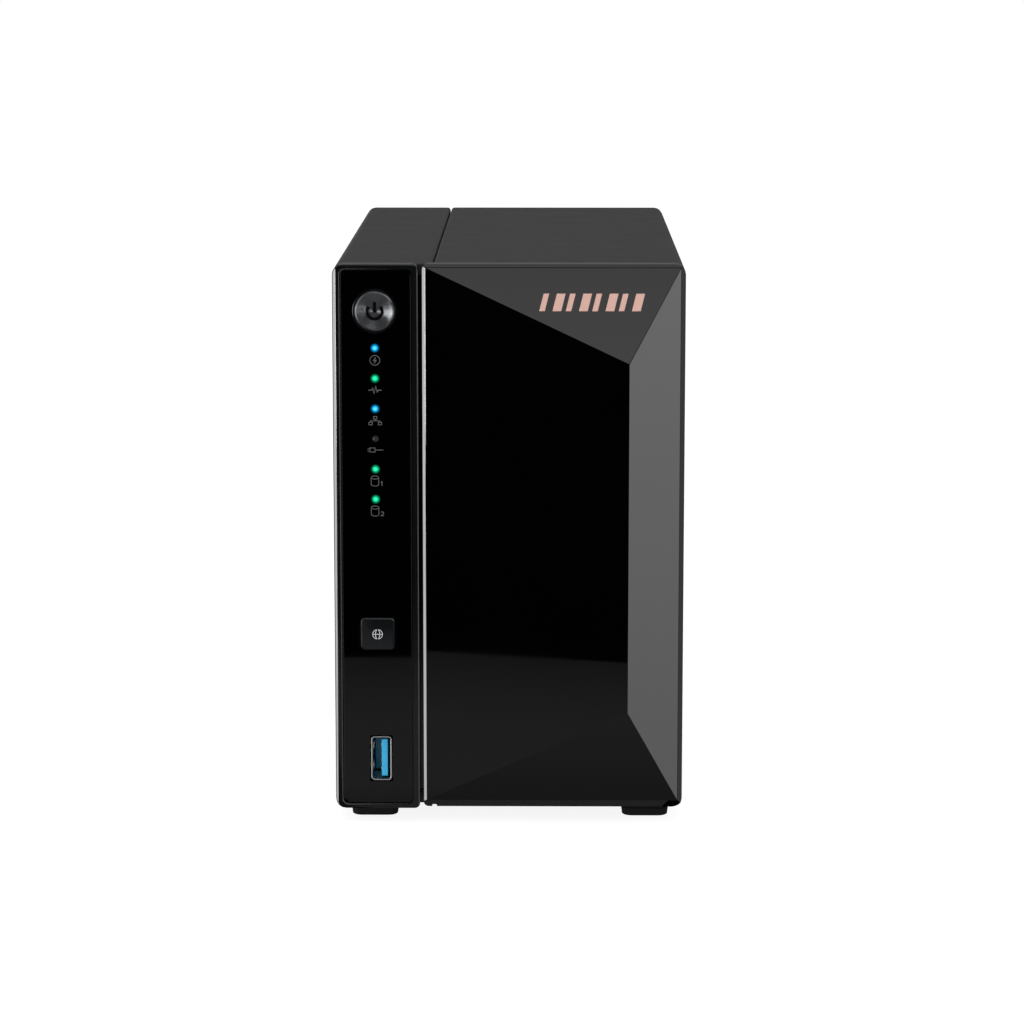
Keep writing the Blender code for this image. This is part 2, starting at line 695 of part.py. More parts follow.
def faceted_block(name, low, high, planes, finish=None):
    """A block with its front cut back to the facets."""
    size = [(b - a) * MM for a, b in zip(low, high)]
    centre = [(a + b) * MM / 2 for a, b in zip(low, high)]
    bm = bmesh.new()
    bmesh.ops.create_cube(bm, size=1.0)
    bmesh.ops.scale(bm, vec=size, verts=bm.verts)
    bmesh.ops.translate(bm, vec=centre, verts=bm.verts)
    for point, normal in planes:
        whole = bm.verts[:] + bm.edges[:] + bm.faces[:]
        result = bmesh.ops.bisect_plane(
            bm, geom=whole, plane_co=point * MM, plane_no=normal, clear_outer=True, dist=0.0000001
        )
        rim = [e for e in result["geom_cut"] if isinstance(e, bmesh.types.BMEdge)]
        bmesh.ops.holes_fill(bm, edges=rim)
    bmesh.ops.recalc_face_normals(bm, faces=bm.faces)
    return place(name, mesh_of(bm, name), finish)


def faceted_front():
    """Four facets that meet in an upright ridge, chamfered edges, rounded corners and a hollow back."""
    low = (PANEL_LEFT, FRONT - 1, FOOT)
    high = (SIDE, PANEL_BACK, HEIGHT)
    front = faceted_block("faceted_front", low, high, facet_planes(0) + rim_planes(), GLOSS_BLACK)
    outline = rounded((PANEL_LEFT, FOOT), (SIDE, HEIGHT), (1.5, CORNER))
    join(front, plate("front outline", [outline], FRONT - 2, PANEL_BACK + 1, "Y"), "INTERSECT")
    low = (PANEL_LEFT + WALL, FRONT - 1, INNER_FOOT)
    high = (INNER_SIDE, PANEL_BACK + 1, INNER_TOP)
    cut(front, faceted_block("hollow back", low, high, facet_planes(WALL)))
    for x in TAB_CENTRES:
        for z in TAB_HEIGHTS:
            boss_back = TAB_FRONT - GAP
            fuse(front, rod("boss", 3.4, (x, boss_back, z), boss_back - RIM + 0.3, "front", None, 12))
            cut(front, screw_hole((x, boss_back + 1, z), 6.0, "front"))
    notch = rounded(*around(SEAM_X, FOOT, 1.4, 1.6), 0.3, 2)
    return cut(front, plate("edge notch", [notch], RIM - 1, PANEL_BACK + 1, "Y"))


def emblem():
    """A plain badge on the top facet: a row of slanted bars on a thin strip, with no letters."""
    along = (BADGE_Z - FACET_TOP) / math.cos(FACET_TILT)
    origin = Vector((0, RIM + along * math.sin(FACET_TILT), FACET_TOP + along * math.cos(FACET_TILT)))
    normal = Vector((0, -math.cos(FACET_TILT), math.sin(FACET_TILT)))
    facing = (math.pi / 2 - FACET_TILT, 0, 0)
    length = BADGE_BARS * BADGE_PITCH
    strip = plate("emblem", [bar_outline(BADGE_LEFT, length)], 0, BADGE_STRIP, "Z", ROSE_GOLD)
    strip.location = (origin + normal * (GAP + BADGE_STRIP / 2)) * MM
    strip.rotation_euler = facing
    for i in range(BADGE_BARS):
        outline = bar_outline(BADGE_LEFT + i * BADGE_PITCH, BADGE_PITCH * 0.66)
        bar = plate("badge bar", [outline], 0, BADGE_BAR, "Z")
        bar.location = (origin + normal * (GAP + BADGE_BAR / 2 + BADGE_STRIP / 2)) * MM
        bar.rotation_euler = facing
        fuse(strip, bar)
    return strip


def bar_outline(left, width):
    """A bar that leans to the right, centred on the badge's middle line."""
    half = BADGE_TALL / 2
    lean = BADGE_TALL * 0.25
    return [(left, -half), (left + width, -half), (left + width + lean, half), (left + lean, half)]


# ---------------------------------------------------------------- inner frame, cage and disks


def chassis_frame():
    """Folded sheet steel: an upright web with flanges to the left, and two rear tabs for the rear panel."""
    section = [
        (FRAME_FLANGE_LEFT, FRAME_FOOT),
        (FRAME_RIGHT, FRAME_FOOT),
        (FRAME_RIGHT, FRAME_HEAD),
        (FRAME_FLANGE_LEFT, FRAME_HEAD),
        (FRAME_FLANGE_LEFT, FRAME_HEAD - SHEET),
        (FRAME_LEFT, FRAME_HEAD - SHEET),
        (FRAME_LEFT, FRAME_FOOT + SHEET),
        (FRAME_FLANGE_LEFT, FRAME_FOOT + SHEET),
    ]
    frame = plate("chassis_frame", [section], CAGE_FRONT, FRAME_REAR, "Y", STEEL)
    window = box("fan window", (FRAME_LEFT - 1, 66, 44), (FRAME_RIGHT + 1, FRAME_REAR + 1, 118))
    cut(frame, window)
    for z in FRAME_TAB_HEIGHTS:
        fuse(frame, box("rear tab", (FRAME_LEFT, FRAME_REAR - SHEET, z - 9), (-6, FRAME_REAR, z + 9)))
        cut(frame, screw_hole((FRAME_SCREW_X, FRAME_REAR + 1, z), 3.5, "front"))
    for y in FRAME_BOSS_YS:
        cut(frame, screw_hole((FRAME_BOSS_X, y, FRAME_HEAD + 1), 3.5, "down"))
        cut(frame, screw_hole((FRAME_BOSS_X, y, FRAME_FOOT - 1), 3.5, "up"))
    for y, z in cage_screw_places():
        cut(frame, screw_hole((FRAME_LEFT - 1, y, z), 3.5, "right"))
    return frame


def cage_screw_places():
    return [(y, z) for y in (-70.0, 44.0) for z in (40.0, 122.0)]


def drive_cage():
    """A sheet steel sleeve, open at the front and the back, with slots in its sides."""
    outer = rectangle((CAGE_LEFT, CAGE_LOW), (CAGE_RIGHT, CAGE_HIGH))
    inner = rectangle((CAGE_LEFT + SHEET, CAGE_LOW + SHEET), (CAGE_RIGHT - SHEET, CAGE_HIGH - SHEET))
    cage = plate("drive_cage", [outer, inner], CAGE_FRONT, CAGE_REAR, "Y", STEEL)
    for i in range(5):
        low, high = around(-62.0 + 24.0 * i, (CAGE_LOW + CAGE_HIGH) / 2, 11.0, 62.0)
        cut(cage, plate("side slot", [rounded(low, high, 5.0, 3)], CAGE_LEFT - 1, CAGE_RIGHT + 1, "X"))
    for y, z in cage_screw_places():
        cut(cage, screw_hole((CAGE_LEFT - 1, y, z), 3.5, "right"))
    for x in drive_centres():
        for y in DRIVE_SCREW_YS:
            cut(cage, screw_hole((x, y, CAGE_HIGH + 1), 3.5, "down"))
            cut(cage, screw_hole((x, y, CAGE_LOW - 1), 3.5, "up"))
    return cage


def drive_centres():
    return [left + DRIVE_SCREW_X for left in DRIVE_LEFTS]


def drive(number, left):
    """A 3.5 inch disk: cast base, pressed lid on its left face and controller board on its right face."""
    name = f"drive_{number}"
    rear = DRIVE_FRONT + DRIVE_LONG
    top = DRIVE_FOOT + DRIVE_TALL
    lid_right = left + SHEET
    board_left = left + DRIVE_THICK - 1.6
    body_low = (lid_right + GAP, DRIVE_FRONT, DRIVE_FOOT)
    body_high = (board_left - GAP, rear, top)
    body = box(name + "_body", body_low, body_high, CAST)
    x = left + DRIVE_SCREW_X
    for y in DRIVE_SCREW_YS:
        cut(body, screw_hole((x, y, top + 1), 7.0, "down"))
        cut(body, screw_hole((x, y, DRIVE_FOOT - 1), 7.0, "up"))
    lid = rounded((DRIVE_FRONT + 3, DRIVE_FOOT + 3), (rear - 8, top - 3), 6.0, 3)
    plate(name + "_lid", [lid], left, lid_right, "X", ALUMINIUM)
    board = rounded((rear - 92, DRIVE_FOOT + 6), (rear - 2, top - 6), 2.0, 2)
    plate(name + "_board", [board], board_left, board_left + 1.6, "X", BOARD_GREEN)


def sata_backplane():
    """The upright board behind the disks. It plugs into the riser slot on the mainboard."""
    outline = rectangle(BACKPLANE_LOW, BACKPLANE_HIGH)
    plate("sata_backplane", [outline], BACKPLANE_FRONT, BACKPLANE_BACK, "Y", BOARD_GREEN)
    near = DRIVE_FRONT + DRIVE_LONG + GAP
    for number, left in enumerate(DRIVE_LEFTS, start=1):
        low = (left + 17.0, near, 60.0)
        high = (left + 22.0, BACKPLANE_FRONT - GAP, 102.0)
        box(f"sata_connector_{number}", low, high, CHIP)
    low = (PART_LEFT, BACKPLANE_FRONT - 3.2, 52.0)
    high = (-34.0, BACKPLANE_BACK + 3.2, 110.0)
    riser = box("riser_slot", low, high, CHIP)
    low = (BACKPLANE_LOW[0] - GAP, BACKPLANE_FRONT - GAP, BACKPLANE_LOW[1] - GAP)
    high = (-33.0, BACKPLANE_BACK + GAP, BACKPLANE_HIGH[1] + GAP)
    cut(riser, box("board slot", low, high))


# ---------------------------------------------------------------- mainboard


def mainboard():
    board = plate("mainboard", [rectangle((-78, 16), (98, 146))], BOARD_LEFT, BOARD_RIGHT, "X", BOARD_GREEN)
    for y, z in STANDOFFS:
        cut(board, screw_hole((BOARD_LEFT - 1, y, z), 4.0, "right"))
    box("processor", (PART_LEFT, -10, 70), (PART_LEFT + 2.2, 9, 89), CHIP)
    rod("coin_cell", 10.0, (PART_LEFT, -52, 50), 3.2, "right", STEEL, 24)
    heat_sink(PART_LEFT + 2.2 + GAP)
    box("memory_chip", (PART_LEFT, -46, 74), (PART_LEFT + 1.1, -34, 87), CHIP)


def heat_sink(left):
    """A comb of fins on a base plate, extruded upwards."""
    base = left + 3.0
    tip = -22.0
    pitch = 5.0
    fin = 1.4
    outline = [(left, -22), (tip, -22)]
    for i in range(8):
        y = -22 + pitch * i
        outline += [(tip, y + fin), (base, y + fin), (base, y + pitch), (tip, y + pitch)]
    outline += [(tip, 18 + fin), (left, 18 + fin)]
    return plate("heat_sink", [outline[1:] + outline[:1]], 59.0, 100.0, "Z", ALUMINIUM)


def lan_jack():
    """A network socket with a stepped mouth."""
    low = (LAN_LOW[0], PORT_END - 19, LAN_LOW[1])
    high = (LAN_HIGH[0], PORT_END, LAN_HIGH[1])
    jack = box("lan_jack", low, high, STEEL)
    low = (LAN_LOW[0] + 2.4, PORT_END - 13, LAN_LOW[1] + 2.1)
    high = (LAN_LOW[0] + 9.6, PORT_END + 1, LAN_HIGH[1] - 2.1)
    cut(jack, box("plug space", low, high))
    low = (LAN_LOW[0] + 9.0, PORT_END - 11, LAN_LOW[1] + 4.6)
    high = (LAN_LOW[0] + 11.6, PORT_END + 1, LAN_HIGH[1] - 4.6)
    return cut(jack, box("latch space", low, high))


def dc_jack():
    """A power inlet: a block with a round well and a centre pin."""
    x = (DC_LOW[0] + DC_HIGH[0]) / 2
    z = (DC_LOW[1] + DC_HIGH[1]) / 2
    low = (DC_LOW[0], PORT_END - 14, DC_LOW[1])
    high = (DC_HIGH[0], PORT_END, DC_HIGH[1])
    jack = box("dc_jack", low, high, CHIP)
    cut(jack, rod("well", 3.2, (x, PORT_END - 10, z), 12, "rear", None, 16))
    return fuse(jack, rod("pin", 1.0, (x, PORT_END - 11, z), 10, "rear", None, 8))


def reset_switch():
    """A recessed push switch behind a pinhole."""
    base = PANEL_FRONT_Y - GAP - 0.6 - 2.4 - 2.1
    push_switch("reset", RESET_X, RESET_Z, base, "rear", RESET_TRAVEL)


# ---------------------------------------------------------------- rear panel and fan


def grille_holes():
    """Hexagonal holes on a triangular grid, inside the fan's circle."""
    mesh_rows = int(GRILLE_R // (GRILLE_PITCH * math.sqrt(3) / 2))
    bm = bmesh.new()
    for row in range(-mesh_rows, mesh_rows + 1):
        z = row * GRILLE_PITCH * math.sqrt(3) / 2
        shift = GRILLE_PITCH / 2 if row % 2 else 0
        for column in range(-5, 6):
            x = column * GRILLE_PITCH + shift
            if math.hypot(x, z) + GRILLE_HEX_R > GRILLE_R:
                continue
            before = len(bm.verts)
            radius = GRILLE_HEX_R * MM
            bmesh.ops.create_cone(
                bm, cap_ends=True, segments=6, radius1=radius, radius2=radius, depth=6 * MM
            )
            bm.verts.ensure_lookup_table()
            bmesh.ops.translate(bm, vec=(x * MM, z * MM, 0), verts=bm.verts[before:])
    middle = (PANEL_FRONT_Y + PANEL_REAR_Y) / 2
    return place("grille holes", mesh_of(bm, "grille"), None, (FAN_X, middle, FAN_Z), TOWARDS["front"])


def rear_panel():
    """A plate inside the rear edge of the shells, with the fan grille, the ports and the screw holes."""
    low = (-INNER_SIDE + GAP, INNER_FOOT + GAP)
    high = (INNER_SIDE - GAP, INNER_TOP - GAP)
    panel = plate("rear_panel", [rectangle(low, high)], PANEL_FRONT_Y, PANEL_REAR_Y, "Y", BLACK_PLASTIC)
    cut(panel, grille_holes())
    start = PANEL_FRONT_Y - 1
    end = PANEL_REAR_Y + 1
    ports = [around(REAR_USB_X, z, USB_SHORT, USB_LONG) for z in REAR_USB_ZS]
    ports += [(LAN_LOW, LAN_HIGH), (DC_LOW, DC_HIGH)]
    for low, high in ports:
        cut(panel, plate("port hole", [rectangle(*grown(low, high, GAP))], start, end, "Y"))
    lock = rounded(*around(LOCK_X, LOCK_Z, 3.2, 7.2), 1.0, 2)
    cut(panel, plate("lock slot", [lock], start, end, "Y"))
    cut(panel, rod("pinhole", 1.1, (RESET_X, end, RESET_Z), end - start, "front", None, 12))
    for z in SCREW_ZS:
        cut(panel, rod("thumbscrew hole", 2.9, (SCREW_X, end, z), end - start, "front", None, 16))
    for x, z in rear_screw_places() + fan_screw_places():
        cut(panel, screw_hole((x, end, z), end - start, "front"))
    return panel


def rear_screw_places():
    return [(SHELL_BOSS_X, z) for z in SHELL_BOSS_ZS] + [(FRAME_SCREW_X, z) for z in FRAME_TAB_HEIGHTS]


def fan_screw_places():
    return [(FAN_X + i * FAN_BOLT, FAN_Z + j * FAN_BOLT) for i in (-1, 1) for j in (-1, 1)]


def fan_frame():
    """A square duct with four struts that hold the motor's base and its shaft."""
    outer = rounded((FAN_X - FAN_HALF, FAN_Z - FAN_HALF), (FAN_X + FAN_HALF, FAN_Z + FAN_HALF), 4.0, 2)
    duct = arc(FAN_X, FAN_Z, FAN_HOLE_R, 0, 360 * 31 / 32, 31)
    frame = plate("fan_frame", [outer, duct], FAN_FRONT, FAN_REAR, "Y", CHIP)
    fuse(frame, rod("motor base", 13.5, (FAN_X, FAN_REAR - 0.5, FAN_Z), 3.0, "front", None, 24))
    for i in range(4):
        strut = box("strut", (10, -3.0, -1.6), (FAN_HOLE_R + 0.8, 0, 1.6))
        strut.data.transform(strut.matrix_basis)
        strut.location = Vector((FAN_X, FAN_REAR - 0.5, FAN_Z)) * MM
        strut.rotation_euler = (0, math.radians(45 + 90 * i), 0)
        fuse(frame, strut)
    fuse(frame, rod("shaft", 1.5, (FAN_X, FAN_REAR - 1, FAN_Z), 14, "front", None, 12))
    for x, z in fan_screw_places():
        cut(frame, screw_hole((x, FAN_REAR + 1, z), 10, "front"))
    return frame


def fan_rotor():
    """A hub on the fan's shaft with pitched blades."""
    front = FAN_FRONT + 3.0
    back = FAN_REAR - 4.5
    rotor = rod("fan_rotor", HUB_R, (FAN_X, back, FAN_Z), back - front, "front", CHIP, 24)
    for i in range(BLADES):
        blade = box("blade", (HUB_R - 1, -0.7, -7), (BLADE_REACH, 0.7, 7))
        turn = math.radians(360 * i / BLADES)
        blade.data.transform(blade.matrix_basis)
        blade.location = Vector((FAN_X, (front + back) / 2, FAN_Z)) * MM
        blade.rotation_euler = (math.radians(50), turn, 0)
        fuse(rotor, blade)
    return cut(rotor, rod("shaft bore", 1.9, (FAN_X, back + 1, FAN_Z), 13.5, "front", None, 12))


def fan_lead():
    """The fan's short lead, from the frame's side to the plug moulded on its end, on the mainboard."""
    plug_right = -35.0
    start = Vector((FAN_X - FAN_HALF - 2 * GAP, 84, 52))
    finish = Vector((plug_right - 1, 62, 27.5))
    curve = bpy.data.curves.new("fan_lead", "CURVE")
    curve.dimensions = "3D"
    curve.bevel_depth = 1.1 * MM
    curve.bevel_resolution = 2
    curve.use_fill_caps = True
    spline = curve.splines.new("POLY")
    steps = 10
    spline.points.add(steps)
    bend_start = start + Vector((-12, 0, 0))
    bend_end = finish + Vector((8, 0, 0))
    for i, point in enumerate(spline.points):
        t = i / steps
        at = start * (1 - t) ** 3 + bend_start * 3 * t * (1 - t) ** 2
        at += bend_end * 3 * t**2 * (1 - t) + finish * t**3
        point.co = (*(at * MM), 1)
    lead = place("fan_lead", realised(place("lead route", curve, None)), CHIP)
    return fuse(lead, box("fan plug", (PART_LEFT, 58, 24), (plug_right, 66, 31)))


def thumbscrew(name, z):
    """A captive screw with a broad ribbed head, its neck in the rear panel and its tip in the cover."""
    head = PANEL_REAR_Y + GAP
    profile = [
        (0, REAR - head),
        (3.6, REAR - head),
        (4.4, REAR - head - 0.8),
        (4.4, 0.6),
        (3.8, 0),
        (2.4, 0),
        (2.4, PANEL_FRONT_Y - head + 0.7),
        (1.6, PANEL_FRONT_Y - head + 0.1),
        (1.6, -13.0),
        (0, -13.0),
    ]
    return smooth(turned(name, profile, (SCREW_X, head, z), "rear", DARK_METAL, 20))


# ---------------------------------------------------------------- fasteners


def fan_screws():
    for number, (x, z) in enumerate(fan_screw_places(), start=1):
        screw(f"fan_screw_{number}", 9.0, (x, PANEL_REAR_Y + GAP, z), "rear", DARK_SCREW)


def build():
    left_shell()
    right_shell()
    feet()
    front_bezel()
    bezel_window()
    status_lenses()
    front_board()
    power_button()
    backup_button()
    usb_socket("front_usb", USB_X, USB_Z, RIM + 0.2, "front")
    faceted_front()
    emblem()
    chassis_frame()
    drive_cage()
    for number, left in enumerate(DRIVE_LEFTS, start=1):
        drive(number, left)
    sata_backplane()
    mainboard()
    for number, z in enumerate(REAR_USB_ZS, start=1):
        usb_socket(f"rear_usb_{number}", REAR_USB_X, z, PORT_END, "rear")
    lan_jack()
    dc_jack()
    reset_switch()
    rear_panel()
    fan_frame()
    fan_rotor()
    fan_lead()
    thumbscrew("thumbscrew_lower", SCREW_ZS[0])
    thumbscrew("thumbscrew_upper", SCREW_ZS[1])
    fan_screws()


clear_scene()
PARTS = new_collection("nas_enclosure")
CUTTERS = new_collection("cutters")
build()
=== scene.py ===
"""The looks of a two-bay network storage box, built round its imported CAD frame.

Every dimension is in millimetres, in the row frame, and piece() turns them into metres. Places come from
the CAD nodes. Each surface has its own procedural material.
"""

import math
import random

import bmesh
import bpy
from mathutils import Matrix, Vector


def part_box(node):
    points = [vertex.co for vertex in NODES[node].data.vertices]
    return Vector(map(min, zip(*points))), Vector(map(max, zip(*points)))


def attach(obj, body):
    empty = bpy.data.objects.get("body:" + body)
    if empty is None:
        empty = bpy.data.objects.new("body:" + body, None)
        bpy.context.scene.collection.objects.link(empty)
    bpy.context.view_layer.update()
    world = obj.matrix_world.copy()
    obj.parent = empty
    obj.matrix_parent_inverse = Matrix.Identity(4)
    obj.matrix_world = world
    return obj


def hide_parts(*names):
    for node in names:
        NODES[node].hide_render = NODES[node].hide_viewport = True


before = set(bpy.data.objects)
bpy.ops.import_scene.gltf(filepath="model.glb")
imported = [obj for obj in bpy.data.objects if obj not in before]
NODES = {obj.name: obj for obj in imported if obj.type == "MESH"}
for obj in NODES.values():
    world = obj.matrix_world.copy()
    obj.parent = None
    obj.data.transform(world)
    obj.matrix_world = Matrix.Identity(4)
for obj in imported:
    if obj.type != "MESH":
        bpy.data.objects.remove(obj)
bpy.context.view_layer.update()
MM = 0.001
JOIN = 0.001 * MM  # points nearer than this are one point

# Camera, fitted to the object's own corners
CAMERA_AT = (10.16, -1095.07, 260.61)
CAMERA_PITCH = 9.575
CAMERA_YAW = 0.533
CAMERA_LENS = 121.9

# The chamfers down the left of the frame and of the faceted panel face this way; a lighter metal on them is a
# painted highlight
EDGE_NORMAL = (-0.55, -1.0, 0)

# Front of the button column
SYMBOL_WIDTH = 0.19
PRINT_PROUD = 0.03
LED_LIT = ("blue", "green", "blue", "off", "green", "green")
LED_COLOURS = {
    "blue": ((0.10, 0.76, 1.0), (0.0, 0.2, 0.46)),
    "green": ((0.03, 0.92, 0.46), (0.0, 0.3, 0.13)),
    # An unlit light still glows faintly in this dark grey: a painted glow.
    "off": ((0.012, 0.012, 0.012), (0.008, 0.008, 0.008)),
}

TOWARDS = {
    "front": Matrix.Rotation(math.radians(90), 4, "X"),
    "rear": Matrix.Rotation(math.radians(-90), 4, "X"),
    "right": Matrix.Rotation(math.radians(90), 4, "Y"),
    "left": Matrix.Rotation(math.radians(-90), 4, "Y"),
    "up": Matrix.Identity(4),
    "down": Matrix.Rotation(math.radians(180), 4, "X"),
}


# ---------------- places from the CAD


def low(node):
    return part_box(node)[0] / MM


def high(node):
    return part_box(node)[1] / MM


def middle(node):
    return (low(node) + high(node)) / 2


# ---------------- mesh helpers


def mesh_of(name, bm):
    mesh = bpy.data.meshes.new(name)
    bm.to_mesh(mesh)
    bm.free()
    return mesh


def object_of(name, data):
    obj = bpy.data.objects.new(name, data)
    bpy.context.scene.collection.objects.link(obj)
    return obj


def piece(name, bm, body, looks, stands_for=(), edge=0.0, angle=35):
    """Turns a mesh in millimetres into a shown piece that rides on a CAD body."""
    bmesh.ops.recalc_face_normals(bm, faces=bm.faces)
    bmesh.ops.scale(bm, vec=(MM, MM, MM), verts=bm.verts)
    return show(name, mesh_of(name, bm), body, looks, stands_for, edge, angle)


def show(name, mesh, body, looks, stands_for=(), edge=0.0, angle=35):
    obj = object_of(name, mesh)
    for material in looks if isinstance(looks, (list, tuple)) else [looks]:
        mesh.materials.append(material)
    soften(obj, edge, angle)
    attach(obj, body)
    if stands_for:
        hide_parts(*stands_for)
    return obj


def round_edges(obj, edge, method, angle=30):
    """Rounds an object's edges with a fine bevel, over a sharp angle or by their weights."""
    bevel = obj.modifiers.new("edges", "BEVEL")
    bevel.width = edge * MM
    bevel.segments = 2
    bevel.limit_method = method
    bevel.angle_limit = math.radians(angle)
    bevel.use_clamp_overlap = method == "ANGLE"
    return bevel


def soften(obj, edge, angle=35):
    """Smooth shading with sharp edges, and a fine rounding of the sharp ones."""
    obj.data.shade_smooth()
    obj.data.set_sharp_from_angle(angle=math.radians(angle))
    if edge:
        round_edges(obj, edge, "ANGLE", angle)
        obj.modifiers.new("normals", "WEIGHTED_NORMAL").keep_sharp = True


def refine(node, material, edge, angle=30):
    """A CAD node that stays: its skin joined up, its main edges rounded, and its material."""
    obj = NODES[node]
    mesh = obj.data
    mesh.materials.clear()
    mesh.materials.append(material)
    if not edge:
        soften(obj, 0)
        return
    mark_edges(mesh, math.radians(angle), 0.35)
    mesh.shade_smooth()
    obj.modifiers.new("joined", "WELD").merge_threshold = JOIN
    whole = obj.modifiers.new("flat faces", "DECIMATE")
    whole.decimate_type = "DISSOLVE"
    whole.angle_limit = math.radians(1)
    round_edges(obj, edge, "WEIGHT")
    obj.modifiers.new("normals", "WEIGHTED_NORMAL").keep_sharp = True


def paint_highlight_faces(node, material, normals, tolerance=4):
    """Gives the faces that look one of a few ways a material of their own, here a lighter one as a painted
    highlight.
    """
    mesh = NODES[node].data
    mesh.materials.append(material)
    for normal in normals:
        wanted = Vector(normal).normalized()
        for face in mesh.polygons:
            if face.normal.angle(wanted) < math.radians(tolerance):
                face.material_index = len(mesh.materials) - 1


def span(points):
    """The diagonal of the box round some points."""
    return (Vector(map(max, *points)) - Vector(map(min, *points))).length


def mark_edges(mesh, angle, share):
    """Marks the sharp edges, and weights those whose run spans a good share of the node.

    The mesh comes with its triangles apart, so the edges are found on a joined copy.
    """
    joined = bmesh.new()
    joined.from_mesh(mesh)
    bmesh.ops.remove_doubles(joined, verts=joined.verts, dist=JOIN)
    sharp = {e for e in joined.edges if len(e.link_faces) == 2 and e.calc_face_angle(0) > angle}
    least = share * span([v.co for v in joined.verts])
    weights = {}
    left = set(sharp)
    while left:
        run, front = [], [left.pop()]
        while front:
            edge = front.pop()
            run.append(edge)
            near = {e for v in edge.verts for e in v.link_edges} & left
            left -= near
            front += near
        weight = 1.0 if span([v.co for e in run for v in e.verts]) > least else 0.0
        for edge in run:
            weights[edge_key(*(v.co for v in edge.verts))] = weight
    joined.free()
    spots = [v.co.copy() for v in mesh.vertices]
    keys = [edge_key(*(spots[i] for i in edge.vertices)) for edge in mesh.edges]
    layer = mesh.attributes.new("bevel_weight_edge", "FLOAT", "EDGE")
    layer.data.foreach_set("value", [weights.get(key, 0.0) for key in keys])
    layer = mesh.attributes.get("sharp_edge") or mesh.attributes.new("sharp_edge", "BOOLEAN", "EDGE")
    layer.data.foreach_set("value", [key in weights for key in keys])
    loose = mesh.attributes.get("custom_normal")
    if loose:
        mesh.attributes.remove(loose)


def edge_key(start, end):
    """Names an edge by its ends, to a thousandth of a millimetre."""
    return frozenset(tuple(round(c / MM, 3) for c in spot) for spot in (start, end))


def box(bm, start, end, index=0):
    """A box between two corners, with one of the piece's materials."""
    before = len(bm.faces)
    size = [b - a for a, b in zip(start, end)]
    centre = [(a + b) / 2 for a, b in zip(start, end)]
    made = bmesh.ops.create_cube(bm, size=1.0)["verts"]
    bmesh.ops.scale(bm, vec=size, verts=made)
    bmesh.ops.translate(bm, vec=centre, verts=made)
    bm.faces.ensure_lookup_table()
    for face in bm.faces[before:]:
        face.material_index = index


def bridge(bm, loops):
    """Skins the gaps between loops with the same number of points, one after another."""
    for a, b in zip(loops, loops[1:]):
        for i in range(len(a)):
            j = (i + 1) % len(a)
            bm.faces.new((a[i], b[i], b[j], a[j]))


def prism(bm, outline, start, end, across="Y"):
    """A closed flat outline made as thick as start to end, across an axis."""
    spots = {
        "X": lambda u, v, w: (w, u, v),
        "Y": lambda u, v, w: (u, w, v),
        "Z": lambda u, v, w: (u, v, w),
    }[across]
    near = [bm.verts.new(spots(u, v, start)) for u, v in outline]
    far = [bm.verts.new(spots(u, v, end)) for u, v in outline]
    bm.faces.new(near)
    bm.faces.new(far[::-1])
    bridge(bm, [near, far])


def frame_prism(bm, outer, inner, start, end):
    """A tube between two outlines with the same number of points, across Y."""
    loops = []
    for outline, y in ((outer, start), (outer, end), (inner, end), (inner, start)):
        loops.append([bm.verts.new((u, y, v)) for u, v in outline])
    bridge(bm, loops + loops[:1])


def lathe(bm, profile, base, towards, steps):
    """A turned solid. The profile is (radius, distance from base towards a side), end to end."""
    place = Matrix.Translation(base) @ TOWARDS[towards]
    loops = []
    for radius, along in profile:
        spots = circle(0, 0, radius, steps) if radius else [(0, 0)]
        loops.append([bm.verts.new(place @ Vector((u, v, along))) for u, v in spots])
    for a, b in zip(loops, loops[1:]):
        for i in range(steps):
            j = (i + 1) % steps
            if len(a) == 1:
                bm.faces.new((a[0], b[i], b[j]))
            elif len(b) == 1:
                bm.faces.new((a[i], b[0], a[j]))
            else:
                bm.faces.new((a[i], b[i], b[j], a[j]))


def ribbon(bm, points, width, proud, closed=False):
    """A flat line of even width with mitred corners, standing proud of the upright plane at y = 0."""
    points = [Vector(p) for p in points]
    count = len(points)
    rows = []
    for i, point in enumerate(points):
        ahead = points[(i + 1) % count] - point if closed or i < count - 1 else None
        behind = point - points[i - 1] if closed or i else ahead
        ahead = behind if ahead is None else ahead
        normal_a = Vector((-behind.y, behind.x)).normalized()
        normal_b = Vector((-ahead.y, ahead.x)).normalized()
        mitre = (normal_a + normal_b).normalized()
        reach = width / 2 / max(0.45, mitre.dot(normal_a))
        left = point + mitre * reach
        right = point - mitre * reach
        section = [(left, -proud), (right, -proud), (right, 0), (left, 0)]
        rows.append([bm.verts.new((p.x, y, p.y)) for p, y in section])
    if closed:
        rows.append(rows[0])
    else:
        bm.faces.new(rows[0])
        bm.faces.new(rows[-1][::-1])
    bridge(bm, rows)


def arc(u, v, radius, start, end, steps):
    angles = [math.radians(start + (end - start) * i / steps) for i in range(steps + 1)]
    return [(u + radius * math.cos(a), v + radius * math.sin(a)) for a in angles]


def circle(u, v, radius, steps=32, squash=1.0):
    angles = [2 * math.pi * i / steps for i in range(steps)]
    return [(u + radius * math.cos(a), v + squash * radius * math.sin(a)) for a in angles]


def rounded(start, end, radius, steps=6):
    """A rectangle between two corners, with round corners."""
    return (
        arc(start[0] + radius, start[1] + radius, radius, 180, 270, steps)
        + arc(end[0] - radius, start[1] + radius, radius, 270, 360, steps)
        + arc(end[0] - radius, end[1] - radius, radius, 0, 90, steps)
        + arc(start[0] + radius, end[1] - radius, radius, 90, 180, steps)
    )


def around(u, v, width, height):
    """Opposite corners of a rectangle round a point."""
    return (u - width / 2, v - height / 2), (u + width / 2, v + height / 2)


def rectangle(u, v, width, height):
    (left, low_edge), (right, high_edge) = around(u, v, width, height)
    return [(left, low_edge), (right, low_edge), (right, high_edge), (left, high_edge)]


# ---------------- material helpers


